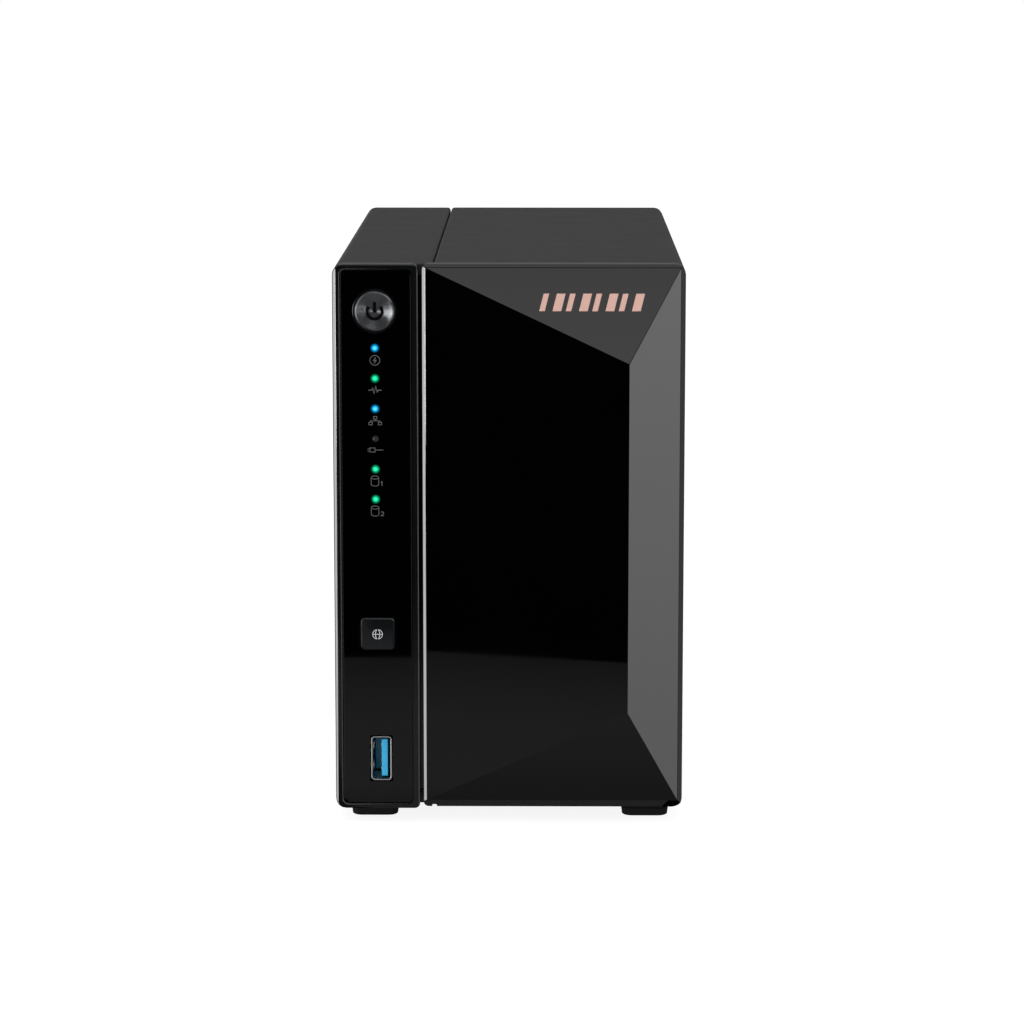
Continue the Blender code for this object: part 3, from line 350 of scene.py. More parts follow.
def values(node, settings):
    for key, value in settings.items():
        node.inputs[key].default_value = value


def surface(name, colour, roughness, metallic=0.0):
    material = bpy.data.materials.new(name)
    material.use_nodes = True
    shader = material.node_tree.nodes["Principled BSDF"]
    values(shader, {"Base Color": (*colour, 1), "Roughness": roughness, "Metallic": metallic})
    return material, material.node_tree, shader


def bare_material(name):
    """A material, its empty tree, and the input of its output."""
    material = bpy.data.materials.new(name)
    material.use_nodes = True
    tree = material.node_tree
    tree.nodes.clear()
    return material, tree, tree.nodes.new("ShaderNodeOutputMaterial").inputs["Surface"]


def object_place(tree):
    return tree.nodes.new("ShaderNodeTexCoord").outputs["Object"]


def coordinates(tree, stretch):
    """Object coordinates in metres, stretched along each axis."""
    mapping = tree.nodes.new("ShaderNodeMapping")
    mapping.inputs["Scale"].default_value = stretch
    tree.links.new(object_place(tree), mapping.inputs["Vector"])
    return mapping.outputs["Vector"]


def noise(tree, size_mm, detail=2.0, stretch=(1, 1, 1)):
    """Noise whose blotches are about size_mm across."""
    node = tree.nodes.new("ShaderNodeTexNoise")
    values(node, {"Scale": 1 / (size_mm * MM), "Detail": detail})
    tree.links.new(coordinates(tree, stretch), node.inputs["Vector"])
    return node.outputs["Fac"]


def remap(tree, value, from_low, from_high, to_low, to_high):
    node = tree.nodes.new("ShaderNodeMapRange")
    tree.links.new(value, node.inputs["Value"])
    values(node, {"From Min": from_low, "From Max": from_high, "To Min": to_low, "To Max": to_high})
    return node.outputs["Result"]


def blend_colours(tree, factor, first, second):
    node = tree.nodes.new("ShaderNodeMix")
    node.data_type = "RGBA"
    tree.links.new(factor, node.inputs[0])
    for socket, colour in ((node.inputs[6], first), (node.inputs[7], second)):
        if hasattr(colour, "is_linked"):
            tree.links.new(colour, socket)
        else:
            socket.default_value = (*colour, 1)
    return node.outputs[2]


def shade(colour, share):
    return [min(1, c * share) for c in colour]


def tint(tree, shader, factor, first, second):
    tree.links.new(blend_colours(tree, factor, first, second), shader.inputs["Base Color"])


def gloss(tree, shader, value, smooth, rough):
    """Roughness between two values, following noise."""
    tree.links.new(remap(tree, value, 0.3, 0.7, smooth, rough), shader.inputs["Roughness"])


def relief(tree, shader, value, depth_mm, strength=1.0):
    """Bump of a real depth, added to what the shader already has."""
    node = tree.nodes.new("ShaderNodeBump")
    values(node, {"Distance": depth_mm * MM, "Strength": strength})
    tree.links.new(value, node.inputs["Height"])
    normal = shader.inputs["Normal"]
    if normal.is_linked:
        tree.links.new(normal.links[0].from_socket, node.inputs["Normal"])
    tree.links.new(node.outputs["Normal"], normal)


def rings(tree, centre_mm, pitch_mm):
    """Concentric lines round an axis that runs front to back."""
    shift = tree.nodes.new("ShaderNodeMapping")
    values(shift, {"Location": [-c * MM for c in centre_mm], "Scale": (1, 0, 1)})
    tree.links.new(object_place(tree), shift.inputs["Vector"])
    wave = tree.nodes.new("ShaderNodeTexWave")
    wave.wave_type = "RINGS"
    wave.rings_direction = "SPHERICAL"
    values(wave, {"Scale": 1 / (pitch_mm * MM) / 3.2, "Distortion": 1.5, "Detail": 3})
    tree.links.new(shift.outputs["Vector"], wave.inputs["Vector"])
    return wave.outputs["Fac"]


# ---------------- materials


def textured_plastic(name, colour, grain_mm=0.55, depth_mm=0.05, roughness=(0.42, 0.56)):
    """Moulded plastic with a spark-eroded grain and a little cloudiness."""
    material, tree, shader = surface(name, colour, roughness[0])
    cloud = noise(tree, 18, 4)
    grain = noise(tree, grain_mm, 3)
    blotches = remap(tree, cloud, 0.3, 0.7, 0, 1)
    tint(tree, shader, blotches, shade(colour, 0.95), shade(colour, 1.05))
    gloss(tree, shader, cloud, *roughness)
    relief(tree, shader, grain, depth_mm, 0.6)
    return material


def piano_black(name, colour):
    """Polished plastic: almost flat, with the faintest ripple and a few dull patches."""
    material, tree, shader = surface(name, colour, 0.02)
    gloss(tree, shader, noise(tree, 30, 3), 0.02, 0.05)
    tint(tree, shader, noise(tree, 25, 2), shade(colour, 0.8), shade(colour, 1.25))
    relief(tree, shader, noise(tree, 9, 1), 0.003, 0.35)
    return material


def turned_metal(name, colour, centre, roughness, metallic):
    """Metal faced on a lathe: fine rings, and highlights that fan out from the centre."""
    material, tree, shader = surface(name, colour, roughness, metallic)
    lines = rings(tree, centre, 0.16)
    values(shader, {"Anisotropic": 0.85, "Anisotropic Rotation": 0.25})
    tangent = tree.nodes.new("ShaderNodeTangent")
    tangent.direction_type = "RADIAL"
    tangent.axis = "Y"
    tree.links.new(tangent.outputs["Tangent"], shader.inputs["Tangent"])
    tint(tree, shader, lines, shade(colour, 0.75), shade(colour, 1.25))
    gloss(tree, shader, lines, roughness * 0.85, roughness * 1.2)
    relief(tree, shader, lines, 0.01, 0.5)
    return material


def brushed_metal(name, colour, stretch, roughness=(0.22, 0.38), metallic=1.0):
    """Metal brushed along one axis."""
    material, tree, shader = surface(name, colour, roughness[0], metallic)
    lines = noise(tree, 0.35, 4, stretch)
    tint(tree, shader, lines, shade(colour, 0.8), shade(colour, 1.12))
    gloss(tree, shader, lines, *roughness)
    relief(tree, shader, lines, 0.01, 0.4)
    return material


def zinc_sheet(name, colour):
    """Galvanised sheet: crystals a few millimetres across, with their own brightness and dullness."""
    material, tree, shader = surface(name, colour, 0.35, 1.0)
    spangle = tree.nodes.new("ShaderNodeTexVoronoi")
    spangle.inputs["Scale"].default_value = 1 / (5 * MM)
    tree.links.new(object_place(tree), spangle.inputs["Vector"])
    split = tree.nodes.new("ShaderNodeSeparateColor")
    tree.links.new(spangle.outputs["Color"], split.inputs["Color"])
    crystal = split.outputs["Red"]
    tint(tree, shader, crystal, shade(colour, 0.72), shade(colour, 1.15))
    gloss(tree, shader, crystal, 0.28, 0.45)
    relief(tree, shader, noise(tree, 0.8, 3), 0.012, 0.4)
    return material


def cast_metal(name, colour):
    """Die casting: a pebbled skin whose hollows are painted darker, as painted shade."""
    material, tree, shader = surface(name, colour, 0.5, 0.9)
    skin = noise(tree, 0.9, 5)
    # Darker where the bump is low: painted shade in the hollows.
    tint(tree, shader, skin, shade(colour, 0.7), shade(colour, 1.2))
    gloss(tree, shader, skin, 0.4, 0.62)
    relief(tree, shader, skin, 0.08, 0.6)
    return material


def rubber_compound(name, colour):
    material, tree, shader = surface(name, colour, 0.8)
    shader.inputs["Specular IOR Level"].default_value = 0.25
    skin = noise(tree, 0.7, 4)
    dust = noise(tree, 6, 3)
    tint(tree, shader, dust, shade(colour, 0.8), shade(colour, 1.35))
    gloss(tree, shader, dust, 0.7, 0.9)
    relief(tree, shader, skin, 0.05, 0.5)
    return material


def solder_mask(name, across):
    """A circuit board: tracks and pads show through the green varnish."""
    material, tree, shader = surface(name, (0.01, 0.09, 0.04), 0.3)
    shader.inputs["Coat Weight"].default_value = 0.4
    flat, spin = {"X": ((0, 1, 1), math.pi / 2), "Y": ((1, 0, 1), 0)}[across]
    bricks = tree.nodes.new("ShaderNodeTexBrick")
    turn = tree.nodes.new("ShaderNodeMapping")
    turn.inputs["Rotation"].default_value = (math.pi / 2, 0, spin)
    tree.links.new(coordinates(tree, flat), turn.inputs["Vector"])
    tree.links.new(turn.outputs["Vector"], bricks.inputs["Vector"])
    values(bricks, {"Scale": 110, "Mortar Size": 0.035, "Brick Width": 1.4, "Row Height": 0.16})
    tracks = remap(tree, bricks.outputs["Fac"], 0, 1, 0, 1)
    patch = remap(tree, noise(tree, 14, 2), 0.46, 0.54, 0, 1)
    both = tree.nodes.new("ShaderNodeMath")
    both.operation = "MULTIPLY"
    tree.links.new(tracks, both.inputs[0])
    tree.links.new(patch, both.inputs[1])
    tint(tree, shader, both.outputs[0], (0.006, 0.055, 0.028), (0.02, 0.16, 0.075))
    relief(tree, shader, both.outputs[0], 0.03, 0.5)
    return material


def moulded(name, colour, roughness=(0.35, 0.5), shine=0.5):
    """Small moulded parts: epoxy or nylon with a fine skin."""
    material, tree, shader = surface(name, colour, roughness[0])
    shader.inputs["Specular IOR Level"].default_value = shine
    skin = noise(tree, 0.3, 3)
    tint(tree, shader, noise(tree, 4, 3), shade(colour, 0.85), shade(colour, 1.15))
    gloss(tree, shader, skin, *roughness)
    relief(tree, shader, skin, 0.01, 0.4)
    return material


def distance_from(tree, centre):
    """Distance in metres from a spot given in millimetres."""
    gap = tree.nodes.new("ShaderNodeVectorMath")
    gap.operation = "DISTANCE"
    gap.inputs[1].default_value = [c * MM for c in centre]
    tree.links.new(object_place(tree), gap.inputs[0])
    return gap.outputs["Value"]


def glowing(name, colours, centre, radius, strength):
    """A lit lens: brightest in its middle, where the chip behind it is, and deeper towards its rim."""
    core, rim = colours
    material, tree, shader = surface(name, rim, 0.15)
    away = remap(tree, distance_from(tree, centre), 0.2 * radius * MM, radius * MM, 0, 1)
    tree.links.new(blend_colours(tree, away, core, rim), shader.inputs["Emission Color"])
    shader.inputs["Emission Strength"].default_value = strength
    return material


def halo(name, colour, centre, inner, outer, strength):
    """Light that spreads in the window round a lens and fades with distance from it."""
    material, tree, result = bare_material(name)
    fade = remap(tree, distance_from(tree, centre), inner * MM, outer * MM, 1, 0)
    power = tree.nodes.new("ShaderNodeMath")
    power.operation = "POWER"
    power.inputs[1].default_value = 2.0
    tree.links.new(fade, power.inputs[0])
    glow = tree.nodes.new("ShaderNodeEmission")
    values(glow, {"Color": (*colour, 1), "Strength": strength})
    clear = tree.nodes.new("ShaderNodeBsdfTransparent")
    mixed = tree.nodes.new("ShaderNodeMixShader")
    tree.links.new(power.outputs[0], mixed.inputs[0])
    tree.links.new(clear.outputs[0], mixed.inputs[1])
    tree.links.new(glow.outputs[0], mixed.inputs[2])
    tree.links.new(mixed.outputs[0], result)
    return material


CASE = textured_plastic("textured black plastic", (0.0195, 0.0195, 0.0205), roughness=(0.46, 0.52))
BEZEL = textured_plastic("satin black frame", (0.003, 0.0033, 0.0038), 0.8, 0.006, (0.12, 0.18))
WINDOW = piano_black("window gloss", (0.0003, 0.0003, 0.0004))
FACETS = piano_black("faceted gloss", (0.0004, 0.0004, 0.0005))
# A lighter metal for the chamfers down the left: a painted highlight.
HIGHLIGHT_CHAMFER = brushed_metal("painted highlight chamfer", (0.24, 0.242, 0.246), (1, 1, 0.05), (0.06, 0.1), 1.0)
# A lighter plastic for the frame's rounded edges: a painted highlight.
EDGE_HIGHLIGHT = moulded("painted edge highlight", (0.042, 0.042, 0.044), (0.2, 0.3))
ROSE = brushed_metal("rose gold", (0.72, 0.44, 0.375), (1, 1, 0.05), (0.3, 0.42), 0.4)
BUTTON_CAP = moulded("satin button", (0.0022, 0.003, 0.0038), (0.2, 0.28))
PRINT = moulded("grey print", (0.075, 0.075, 0.08), (0.5, 0.6))
BRIGHT_PRINT = moulded("light print", (0.48, 0.48, 0.5), (0.5, 0.6))
# Near black, for the power mark and, as painted shade, for the thumbscrews' driver slots.
DARK_MARK_AND_SLOT_SHADE = moulded("near-black mark and painted slot shade", (0.001, 0.001, 0.001), (0.4, 0.5), 0.08)
RUBBER = rubber_compound("foot rubber", (0.0045, 0.0045, 0.005))
SHEET = zinc_sheet("galvanised sheet", (0.62, 0.63, 0.65))
CAST = cast_metal("die cast", (0.36, 0.36, 0.38))
LID = brushed_metal("disk lid", (0.66, 0.66, 0.68), (1, 0.04, 1))
FINS = brushed_metal("extruded fins", (0.62, 0.63, 0.66), (1, 1, 0.03))
NICKEL = brushed_metal("nickel plate", (0.74, 0.74, 0.72), (1, 0.05, 1), (0.16, 0.3))
CELL = brushed_metal("cell steel", (0.7, 0.7, 0.7), (1, 1, 0.2), (0.15, 0.25))
GOLD = brushed_metal("contact gold", (0.86, 0.62, 0.24), (1, 0.1, 1), (0.2, 0.3))
BLACK_ZINC = brushed_metal("black zinc", (0.09, 0.09, 0.095), (1, 1, 1), (0.3, 0.42))
BRIGHT_ZINC = brushed_metal("bright zinc", (0.6, 0.6, 0.6), (1, 1, 1), (0.24, 0.36))
BOARD_X = solder_mask("board across x", "X")
BOARD_Y = solder_mask("board across y", "Y")
CHIP = moulded("chip epoxy", (0.014, 0.014, 0.015), (0.38, 0.5))
NYLON = moulded("black nylon", (0.018, 0.018, 0.02), (0.4, 0.55))
USB_BLUE = moulded("usb blue", (0.02, 0.33, 0.58), (0.3, 0.42))
IVORY = moulded("ivory nylon", (0.62, 0.58, 0.5), (0.4, 0.5))
CAPACITOR = brushed_metal("capacitor can", (0.66, 0.67, 0.7), (1, 1, 1), (0.2, 0.3))
CHOKE = moulded("ferrite", (0.06, 0.06, 0.065), (0.5, 0.65))
LEAD = rubber_compound("lead sleeve", (0.015, 0.015, 0.016))
THUMB = brushed_metal("black nickel", (0.17, 0.17, 0.175), (1, 0.1, 1), (0.24, 0.34))


# ---------------- front of the column


WINDOW_FACE = low("bezel_window").y
COLUMN_X = middle("status_lens_1").x
POWER = middle("power_button")
BACKUP = middle("backup_button")


def bezel_and_window():
    """The frame, with a painted highlight in a lighter metal on the chamfer on its left, a duller painted
    highlight in a lighter plastic on the rounding on its right and on its rounded edges, and its window.

    The edges to the right of the opening's left side are rounded in the CAD, so they aren't rounded again.
    """
    bezel = NODES["front_bezel"]
    refine("front_bezel", BEZEL, 0.32, 40)
    refine("bezel_window", WINDOW, 0.12)
    # The chamfer on the left gets the lighter metal: a painted highlight.
    paint_highlight_faces("front_bezel", HIGHLIGHT_CHAMFER, [EDGE_NORMAL])
    # The rounding on the right and every rounded edge of the frame get the lighter plastic: a painted
    # highlight.
    right_rounding = [(math.sin(a), -math.cos(a), 0) for a in (math.radians(15), math.radians(45))]
    paint_highlight_faces("front_bezel", EDGE_HIGHLIGHT, right_rounding, 8)
    bezel.modifiers["edges"].material = 2
    weights = bezel.data.attributes["bevel_weight_edge"].data
    opening_left = low("bezel_window").x + 4
    for edge in bezel.data.edges:
        if min(bezel.data.vertices[i].co.x for i in edge.vertices) > opening_left * MM:
            weights[edge.index].value = 0.0


def status_light(number):
    node = f"status_lens_{number}"
    state = LED_LIT[number - 1]
    core, rim = LED_COLOURS[state]
    centre = middle(node)
    tip = low(node).y
    back = high(node).y - tip
    radius = 0.8
    bm = bmesh.new()
    profile = [(0, 0.1), (0.35, 0.08), (0.62, 0.0), (radius, -0.2), (radius, -2.9)]
    profile += [(1.5, -3.3), (1.5, -back + 0.3), (1.3, -back), (0, -back)]
    lathe(bm, profile, (centre.x, tip + 0.1, centre.z), "front", 40)
    glass = glowing(f"lens {number}", (core, rim), (centre.x, tip, centre.z), radius, 1.0)
    piece(f"lens_{number}", bm, "chassis", glass, [node])
    if state != "off":
        bm = bmesh.new()
        ring = [(radius, 0.03), (1.5, 0.03), (1.5, 0.01), (radius, 0.01)]
        lathe(bm, ring, (centre.x, WINDOW_FACE, centre.z), "front", 40)
        shine = halo(f"halo {number}", rim, (centre.x, WINDOW_FACE, centre.z), radius, 1.45, 0.9)
        piece(f"lens_halo_{number}", bm, "chassis", shine)


def stroke(bm, points, closed=False, width=SYMBOL_WIDTH):
    ribbon(bm, points, width, PRINT_PROUD, closed)


def draw_status(bm):
    """A bolt in a circle."""
    stroke(bm, circle(0, 0, 1.42), True)
    stroke(bm, [(0.25, 0.85), (-0.38, -0.02), (0.38, 0.02), (-0.25, -0.85)], width=0.26)


def draw_pulse(bm):
    """A beat on a level line."""
    beat = [(-1.05, 0), (-0.7, 0.5), (-0.3, -0.95), (0.2, 1.15), (0.62, -0.55), (0.9, 0)]
    stroke(bm, [(-1.9, 0)] + beat + [(1.9, 0)], width=0.26)


def draw_network(bm):
    """Three linked boxes."""
    stroke(bm, rectangle(0, 0.85, 0.95, 0.75), True)
    for side in (-1, 1):
        stroke(bm, rectangle(side * 1.35, -0.85, 0.95, 0.75), True)
    stroke(bm, [(-1.35, -0.36), (-1.35, -0.06), (1.35, -0.06), (1.35, -0.36)])
    stroke(bm, [(0, 0.31), (0, 0.07)])


def draw_plug(bm):
    """A plain plug and its lead."""
    stroke(bm, rectangle(-0.85, 0, 1.5, 1.2), True)
    stroke(bm, [(-2.3, 0.32), (-1.6, 0.32)])
    stroke(bm, [(-2.3, -0.32), (-1.6, -0.32)])
    stroke(bm, [(-0.1, 0), (2.3, 0)])


def draw_disk(bm, digit):
    """A drum with a number beside it."""
    stroke(bm, circle(-0.2, 1.0, 1.1, 28, 0.42), True)
    side = [(-1.3, 0.75)] + arc(-0.2, -1.05, 1.1, 180, 360, 12) + [(0.9, 0.75)]
    flat = [(u, -1.05 + (v + 1.05) * 0.42) if v < -1.0 else (u, v) for u, v in side]
    stroke(bm, flat)
    if digit == 1:
        stroke(bm, [(1.55, -0.45), (1.85, -0.2), (1.85, -1.5)], width=0.22)
    else:
        curl = arc(1.9, -0.6, 0.38, 160, -35, 8)
        stroke(bm, curl + [(1.52, -1.42), (2.36, -1.42)], width=0.22)


def column_symbols():
    """The symbols printed on the window, each a little below its light."""
    drawings = [
        ("symbol_status", draw_status, 3.55),
        ("symbol_activity", draw_pulse, 3.4),
        ("symbol_network", draw_network, 3.45),
        ("symbol_plug", draw_plug, 3.2),
        ("symbol_disk_1", lambda bm: draw_disk(bm, 1), 3.45),
        ("symbol_disk_2", lambda bm: draw_disk(bm, 2), 3.45),
    ]
    for number, (name, draw, drop) in enumerate(drawings, start=1):
        bm = bmesh.new()
        draw(bm)
        height = middle(f"status_lens_{number}").z - drop
        bmesh.ops.translate(bm, vec=(COLUMN_X, WINDOW_FACE, height), verts=bm.verts)
        piece(name, bm, "chassis", PRINT)


def power_button():
    """A dished metal cap with turned rings, its chamfered rim and the standard on-off mark."""
    node = "power_button"
    face = low(node).y
    back = high(node).y
    depth = back - face
    radius = 5.7
    bm = bmesh.new()
    dish = [(r, depth - 0.55 + 0.45 * (r / 4.9) ** 2) for r in (0.001, 0.8, 1.6, 2.4, 3.2, 4.0, 4.9)]
    profile = [(0, dish[0][1])] + dish[1:]
    profile += [(5.1, depth - 0.02), (5.22, depth), (5.36, depth - 0.02), (radius, depth - 0.36)]
    profile += [(radius, depth - 3.3), (6.8, depth - 3.35), (6.8, depth - 4.3), (2, depth - 4.3)]
    profile += [(2, 0), (0, 0)]
    lathe(bm, profile, (POWER.x, back, POWER.z), "front", 96)
    axis = (POWER.x, 0, POWER.z)
    metal = turned_metal("turned dark metal", (0.225, 0.232, 0.243), axis, 0.34, 0.95)
    piece("power_cap", bm, "power_key", metal, [node], angle=30)
    bm = bmesh.new()
    ribbon(bm, arc(0, 0, 2.15, 140, 400, 40), 0.9, 0.2)
    ribbon(bm, [(0, 2.75), (0, -0.25)], 0.9, 0.2)
    bmesh.ops.translate(bm, vec=(POWER.x, face + 0.5, POWER.z - 0.1), verts=bm.verts)
    piece("power_mark", bm, "power_key", DARK_MARK_AND_SLOT_SHADE)
    bm = bmesh.new()
    ring = [(5.86, 0.0), (5.86, 0.05), (6.2, 0.05), (6.42, 0.0)]
    lathe(bm, ring, (POWER.x, WINDOW_FACE, POWER.z), "front", 96)
    piece("power_surround", bm, "chassis", BEZEL)


def backup_button():
    """A satin cap with a broad chamfer and a plain globe on it."""
    face = low("backup_button").y
    back = high("backup_button").y
    width, height, radius = 10.3, 9.9, 1.3
    steps = ((0.62, 0.0), (0.5, 0.03), (0.12, 0.42), (0.0, 0.62))
    bm = bmesh.new()
    loops = []
    for inset, set_back in steps + ((0.0, 3.0),):
        ends = around(BACKUP.x, BACKUP.z, width - 2 * inset, height - 2 * inset)
        outline = rounded(*ends, radius - inset * 0.5)
        loops.append([bm.verts.new((u, face + set_back, v)) for u, v in outline])
    bm.faces.new(loops[0])
    bm.faces.new(loops[-1][::-1])
    bridge(bm, loops)
    flange = around(BACKUP.x, BACKUP.z, width + 2, height + 2)
    prism(bm, rounded(*flange, 0.5, 2), face + 3.02, face + 4.4)
    stem = back - face - 4.4
    lathe(bm, [(0, 0), (2.0, 0), (2.0, stem), (0, stem)], (BACKUP.x, back, BACKUP.z), "front", 24)
    piece("backup_cap", bm, "backup_key", BUTTON_CAP, ["backup_button"], angle=28)
    bm = bmesh.new()
    stroke(bm, circle(0, 0, 1.42, 36), True)
    stroke(bm, circle(0, 0, 0.62, 28, 2.29), True, 0.2)
    stroke(bm, [(-1.3, 0), (-0.72, 0)])
    stroke(bm, [(-0.52, 0), (0.52, 0)])
    stroke(bm, [(0.72, 0), (1.3, 0)])
    bmesh.ops.translate(bm, vec=(BACKUP.x, face, BACKUP.z), verts=bm.verts)
    piece("backup_mark", bm, "backup_key", BRIGHT_PRINT)


def usb_socket(name, way):
    """A folded shell with rounded corners and spring fingers, and its blue tongue with gold contacts."""
    shell, tongue = name + "_shell", name + "_tongue"
    centre = middle(shell)
    mouth = low(shell).y if way > 0 else high(shell).y
    width = high(shell).x - low(shell).x
    length = high(shell).z - low(shell).z
    deep, metal = 14.0, 0.4
    fingers, finger_step = 4, 1.5
    tongue_x, tongue_half = centre.x + 0.9, 0.9

    def block(bm, left, right, start, end, z, half):
        """A box that runs from one depth behind the mouth to another."""
        near, far = sorted((mouth + way * start, mouth + way * end))
        box(bm, (left, near, z - half), (right, far, z + half))

    outer = rounded(*around(centre.x, centre.z, width, length), 1.1, 6)
    inner = rounded(*around(centre.x, centre.z, width - 2 * metal, length - 2 * metal), 0.75, 6)
    bm = bmesh.new()
    frame_prism(bm, outer, inner, mouth, mouth + way * deep)
    for side in (-1, 1):
        wall = centre.x + side * (width / 2 - metal)
        for z in (centre.z - 3.0, centre.z + 3.0):
            for k in range(fingers):
                depth = 2.6 + finger_step * k
                lift = 0.06 + 0.3 * math.sin(math.pi * (k + 0.5) / fingers)
                left, right = sorted((wall - side * lift, wall - side * 0.02))
                block(bm, left, right, depth, depth + finger_step, z, 1.0)
    piece(name + "_can", bm, "chassis", NICKEL, [shell], 0.09)
    bm = bmesh.new()
    block(bm, tongue_x - tongue_half, tongue_x + tongue_half, 1.0, 11.6, centre.z, 5.55)
    block(bm, centre.x - 2.35, centre.x + 2.35, 11.5, 13.8, centre.z, 5.95)
    piece(name + "_insert", bm, "chassis", USB_BLUE, [tongue], 0.15)
    bm = bmesh.new()
    face = tongue_x - tongue_half
    for i in range(4):
        block(bm, face - 0.17, face, 1.6, 8.5, centre.z - 3.5 + i * 7.0 / 3, 0.5)
    piece(name + "_contacts", bm, "chassis", GOLD, (), 0.04)


# ---------------- faceted front, badge, case and feet


def badge():
    """Slanted bars that stand a little proud of the top facet."""
    node = NODES["emblem"]
    start, end = low("emblem"), high("emblem")
    panel_front = low("faceted_front").y
    rim = low("front_bezel").y
    facet = [p.co / MM for p in NODES["faceted_front"].data.vertices]
    ridge = max(v.z for v in facet if abs(v.y - panel_front) < 0.2)
    top = max(v.z for v in facet if abs(v.y - rim) < 0.1)
    slope = math.atan((rim - panel_front) / (top - ridge))
    count = 8
    pitch = 3.8
    lean = 0.25
    tall = 0.76 * (end.z - start.z) / math.cos(slope)
    half = tall / 2
    bm = bmesh.new()
    for i in range(count):
        left = start.x + tall * lean * 0.5 + i * pitch
        wide = pitch * (0.66 if i % 2 else 0.42)
        foot_edge = [(left, -half), (left + wide, -half)]
        head_edge = [(left + wide + tall * lean, half), (left + tall * lean, half)]
        prism(bm, foot_edge + head_edge, 0.02, 0.32, "Z")
    middle_z = (start.z + end.z) / 2
    along = (top - middle_z) / math.cos(slope)
    at = Vector((0, rim - along * math.sin(slope), top - along * math.cos(slope)))
    turn = Matrix.Translation(at) @ Matrix.Rotation(math.pi / 2 - slope, 4, "X")
    bmesh.ops.transform(bm, matrix=turn, verts=bm.verts)
    piece("badge_bars", bm, "cover", ROSE, [node.name], 0.05)


def case_and_feet():
    """The faceted panel with a painted highlight in a lighter metal on its left edge, both halves of the
    case, and a pad at each corner.
    """
    refine("faceted_front", FACETS, 0.1, 5)
    # The panel's chamfer on the left gets the lighter metal: a painted highlight.
    paint_highlight_faces("faceted_front", HIGHLIGHT_CHAMFER, [EDGE_NORMAL])
    refine("left_shell", CASE, 0.55)
    refine("right_shell", CASE, 0.3)
    for side, body in (("left", "chassis"), ("right", "cover")):
        for end in ("front", "rear"):
            foot(f"foot_{end}_{side}", body)


def foot(node, body):
    """A pad with rounded sides, a flat sole and a shallow groove round it."""
    start, end = low(node), high(node)
    centre = middle(node)
    wide, long = end.x - start.x, end.y - start.y
    bm = bmesh.new()
    levels = ((0.0, 0.7), (0.25, 0.4), (2.3, 0.15), (2.5, 0.4), (2.9, 0.4), (3.1, 0.08), (end.z - 0.02, 0.0))
    loops = []
    for z, inset in levels:
        outline = rounded(*around(centre.x, centre.y, wide - 2 * inset, long - 2 * inset), 2.6)
        loops.append([bm.verts.new((u, v, z)) for u, v in outline])
    bm.faces.new(loops[0][::-1])
    bm.faces.new(loops[-1])
    bridge(bm, loops)
    piece(node.replace("foot", "pad"), bm, body, RUBBER, [node], angle=50)


# ---------------- rear


# A thumbscrew's head: its height, its ribs, and its share of the full radius at heights over its underside
KNOB_HEIGHT = 5.3
KNOB_RIBS = 30
KNOB_LEVELS = ((0.0, 0.9), (0.6, 1.0), (4.5, 1.0), (KNOB_HEIGHT, 0.84))


def ribbed_outline(radius, depth):
    """A circle whose radius goes up and down, once for each rib."""
    points = []
    for i in range(KNOB_RIBS * 2):
        angle = math.pi * i / KNOB_RIBS
        r = radius - (depth if i % 2 else 0)
        points.append((r * math.cos(angle), r * math.sin(angle)))
    return points


def thumbscrew(node, body):
    """A ribbed head with chamfers and a driver slot, which is a near-black bar as painted shade, on its neck
    and threaded tip.
    """
    start, end = low(node), high(node)
    centre = middle(node)
    radius = (end.x - start.x) / 2
    head = end.y - KNOB_HEIGHT
    bm = bmesh.new()
    outside = [(y, ribbed_outline(radius * share, 0.28)) for y, share in KNOB_LEVELS]
    rim = [(0.86 * u, 0.86 * v) for u, v in ribbed_outline(radius * 0.84, 0.1)]
    loops = []
    for y, outline in outside + [(KNOB_HEIGHT, rim), (KNOB_HEIGHT - 0.6, rim)]:
        loops.append([bm.verts.new((centre.x + u, head + y, centre.z + v)) for u, v in outline])
    bm.faces.new(loops[0])
    bm.faces.new(loops[-1][::-1])
    bridge(bm, loops)
    shank = [(0, 0.02), (2.3, 0.02), (2.3, -2.3), (1.55, -3.0), (1.55, -12.8), (0, -12.8)]
    lathe(bm, shank, (centre.x, head, centre.z), "rear", 24)
    # The driver slot is a near-black bar in the recessed top: painted shade for the slot.
    box(bm, (centre.x - 2.6, head + 4.6, centre.z - 0.45), (centre.x + 2.6, head + 5.0, centre.z + 0.45), 1)
    piece(node + "_knob", bm, body, [THUMB, DARK_MARK_AND_SLOT_SHADE], [node], 0.06, 20)


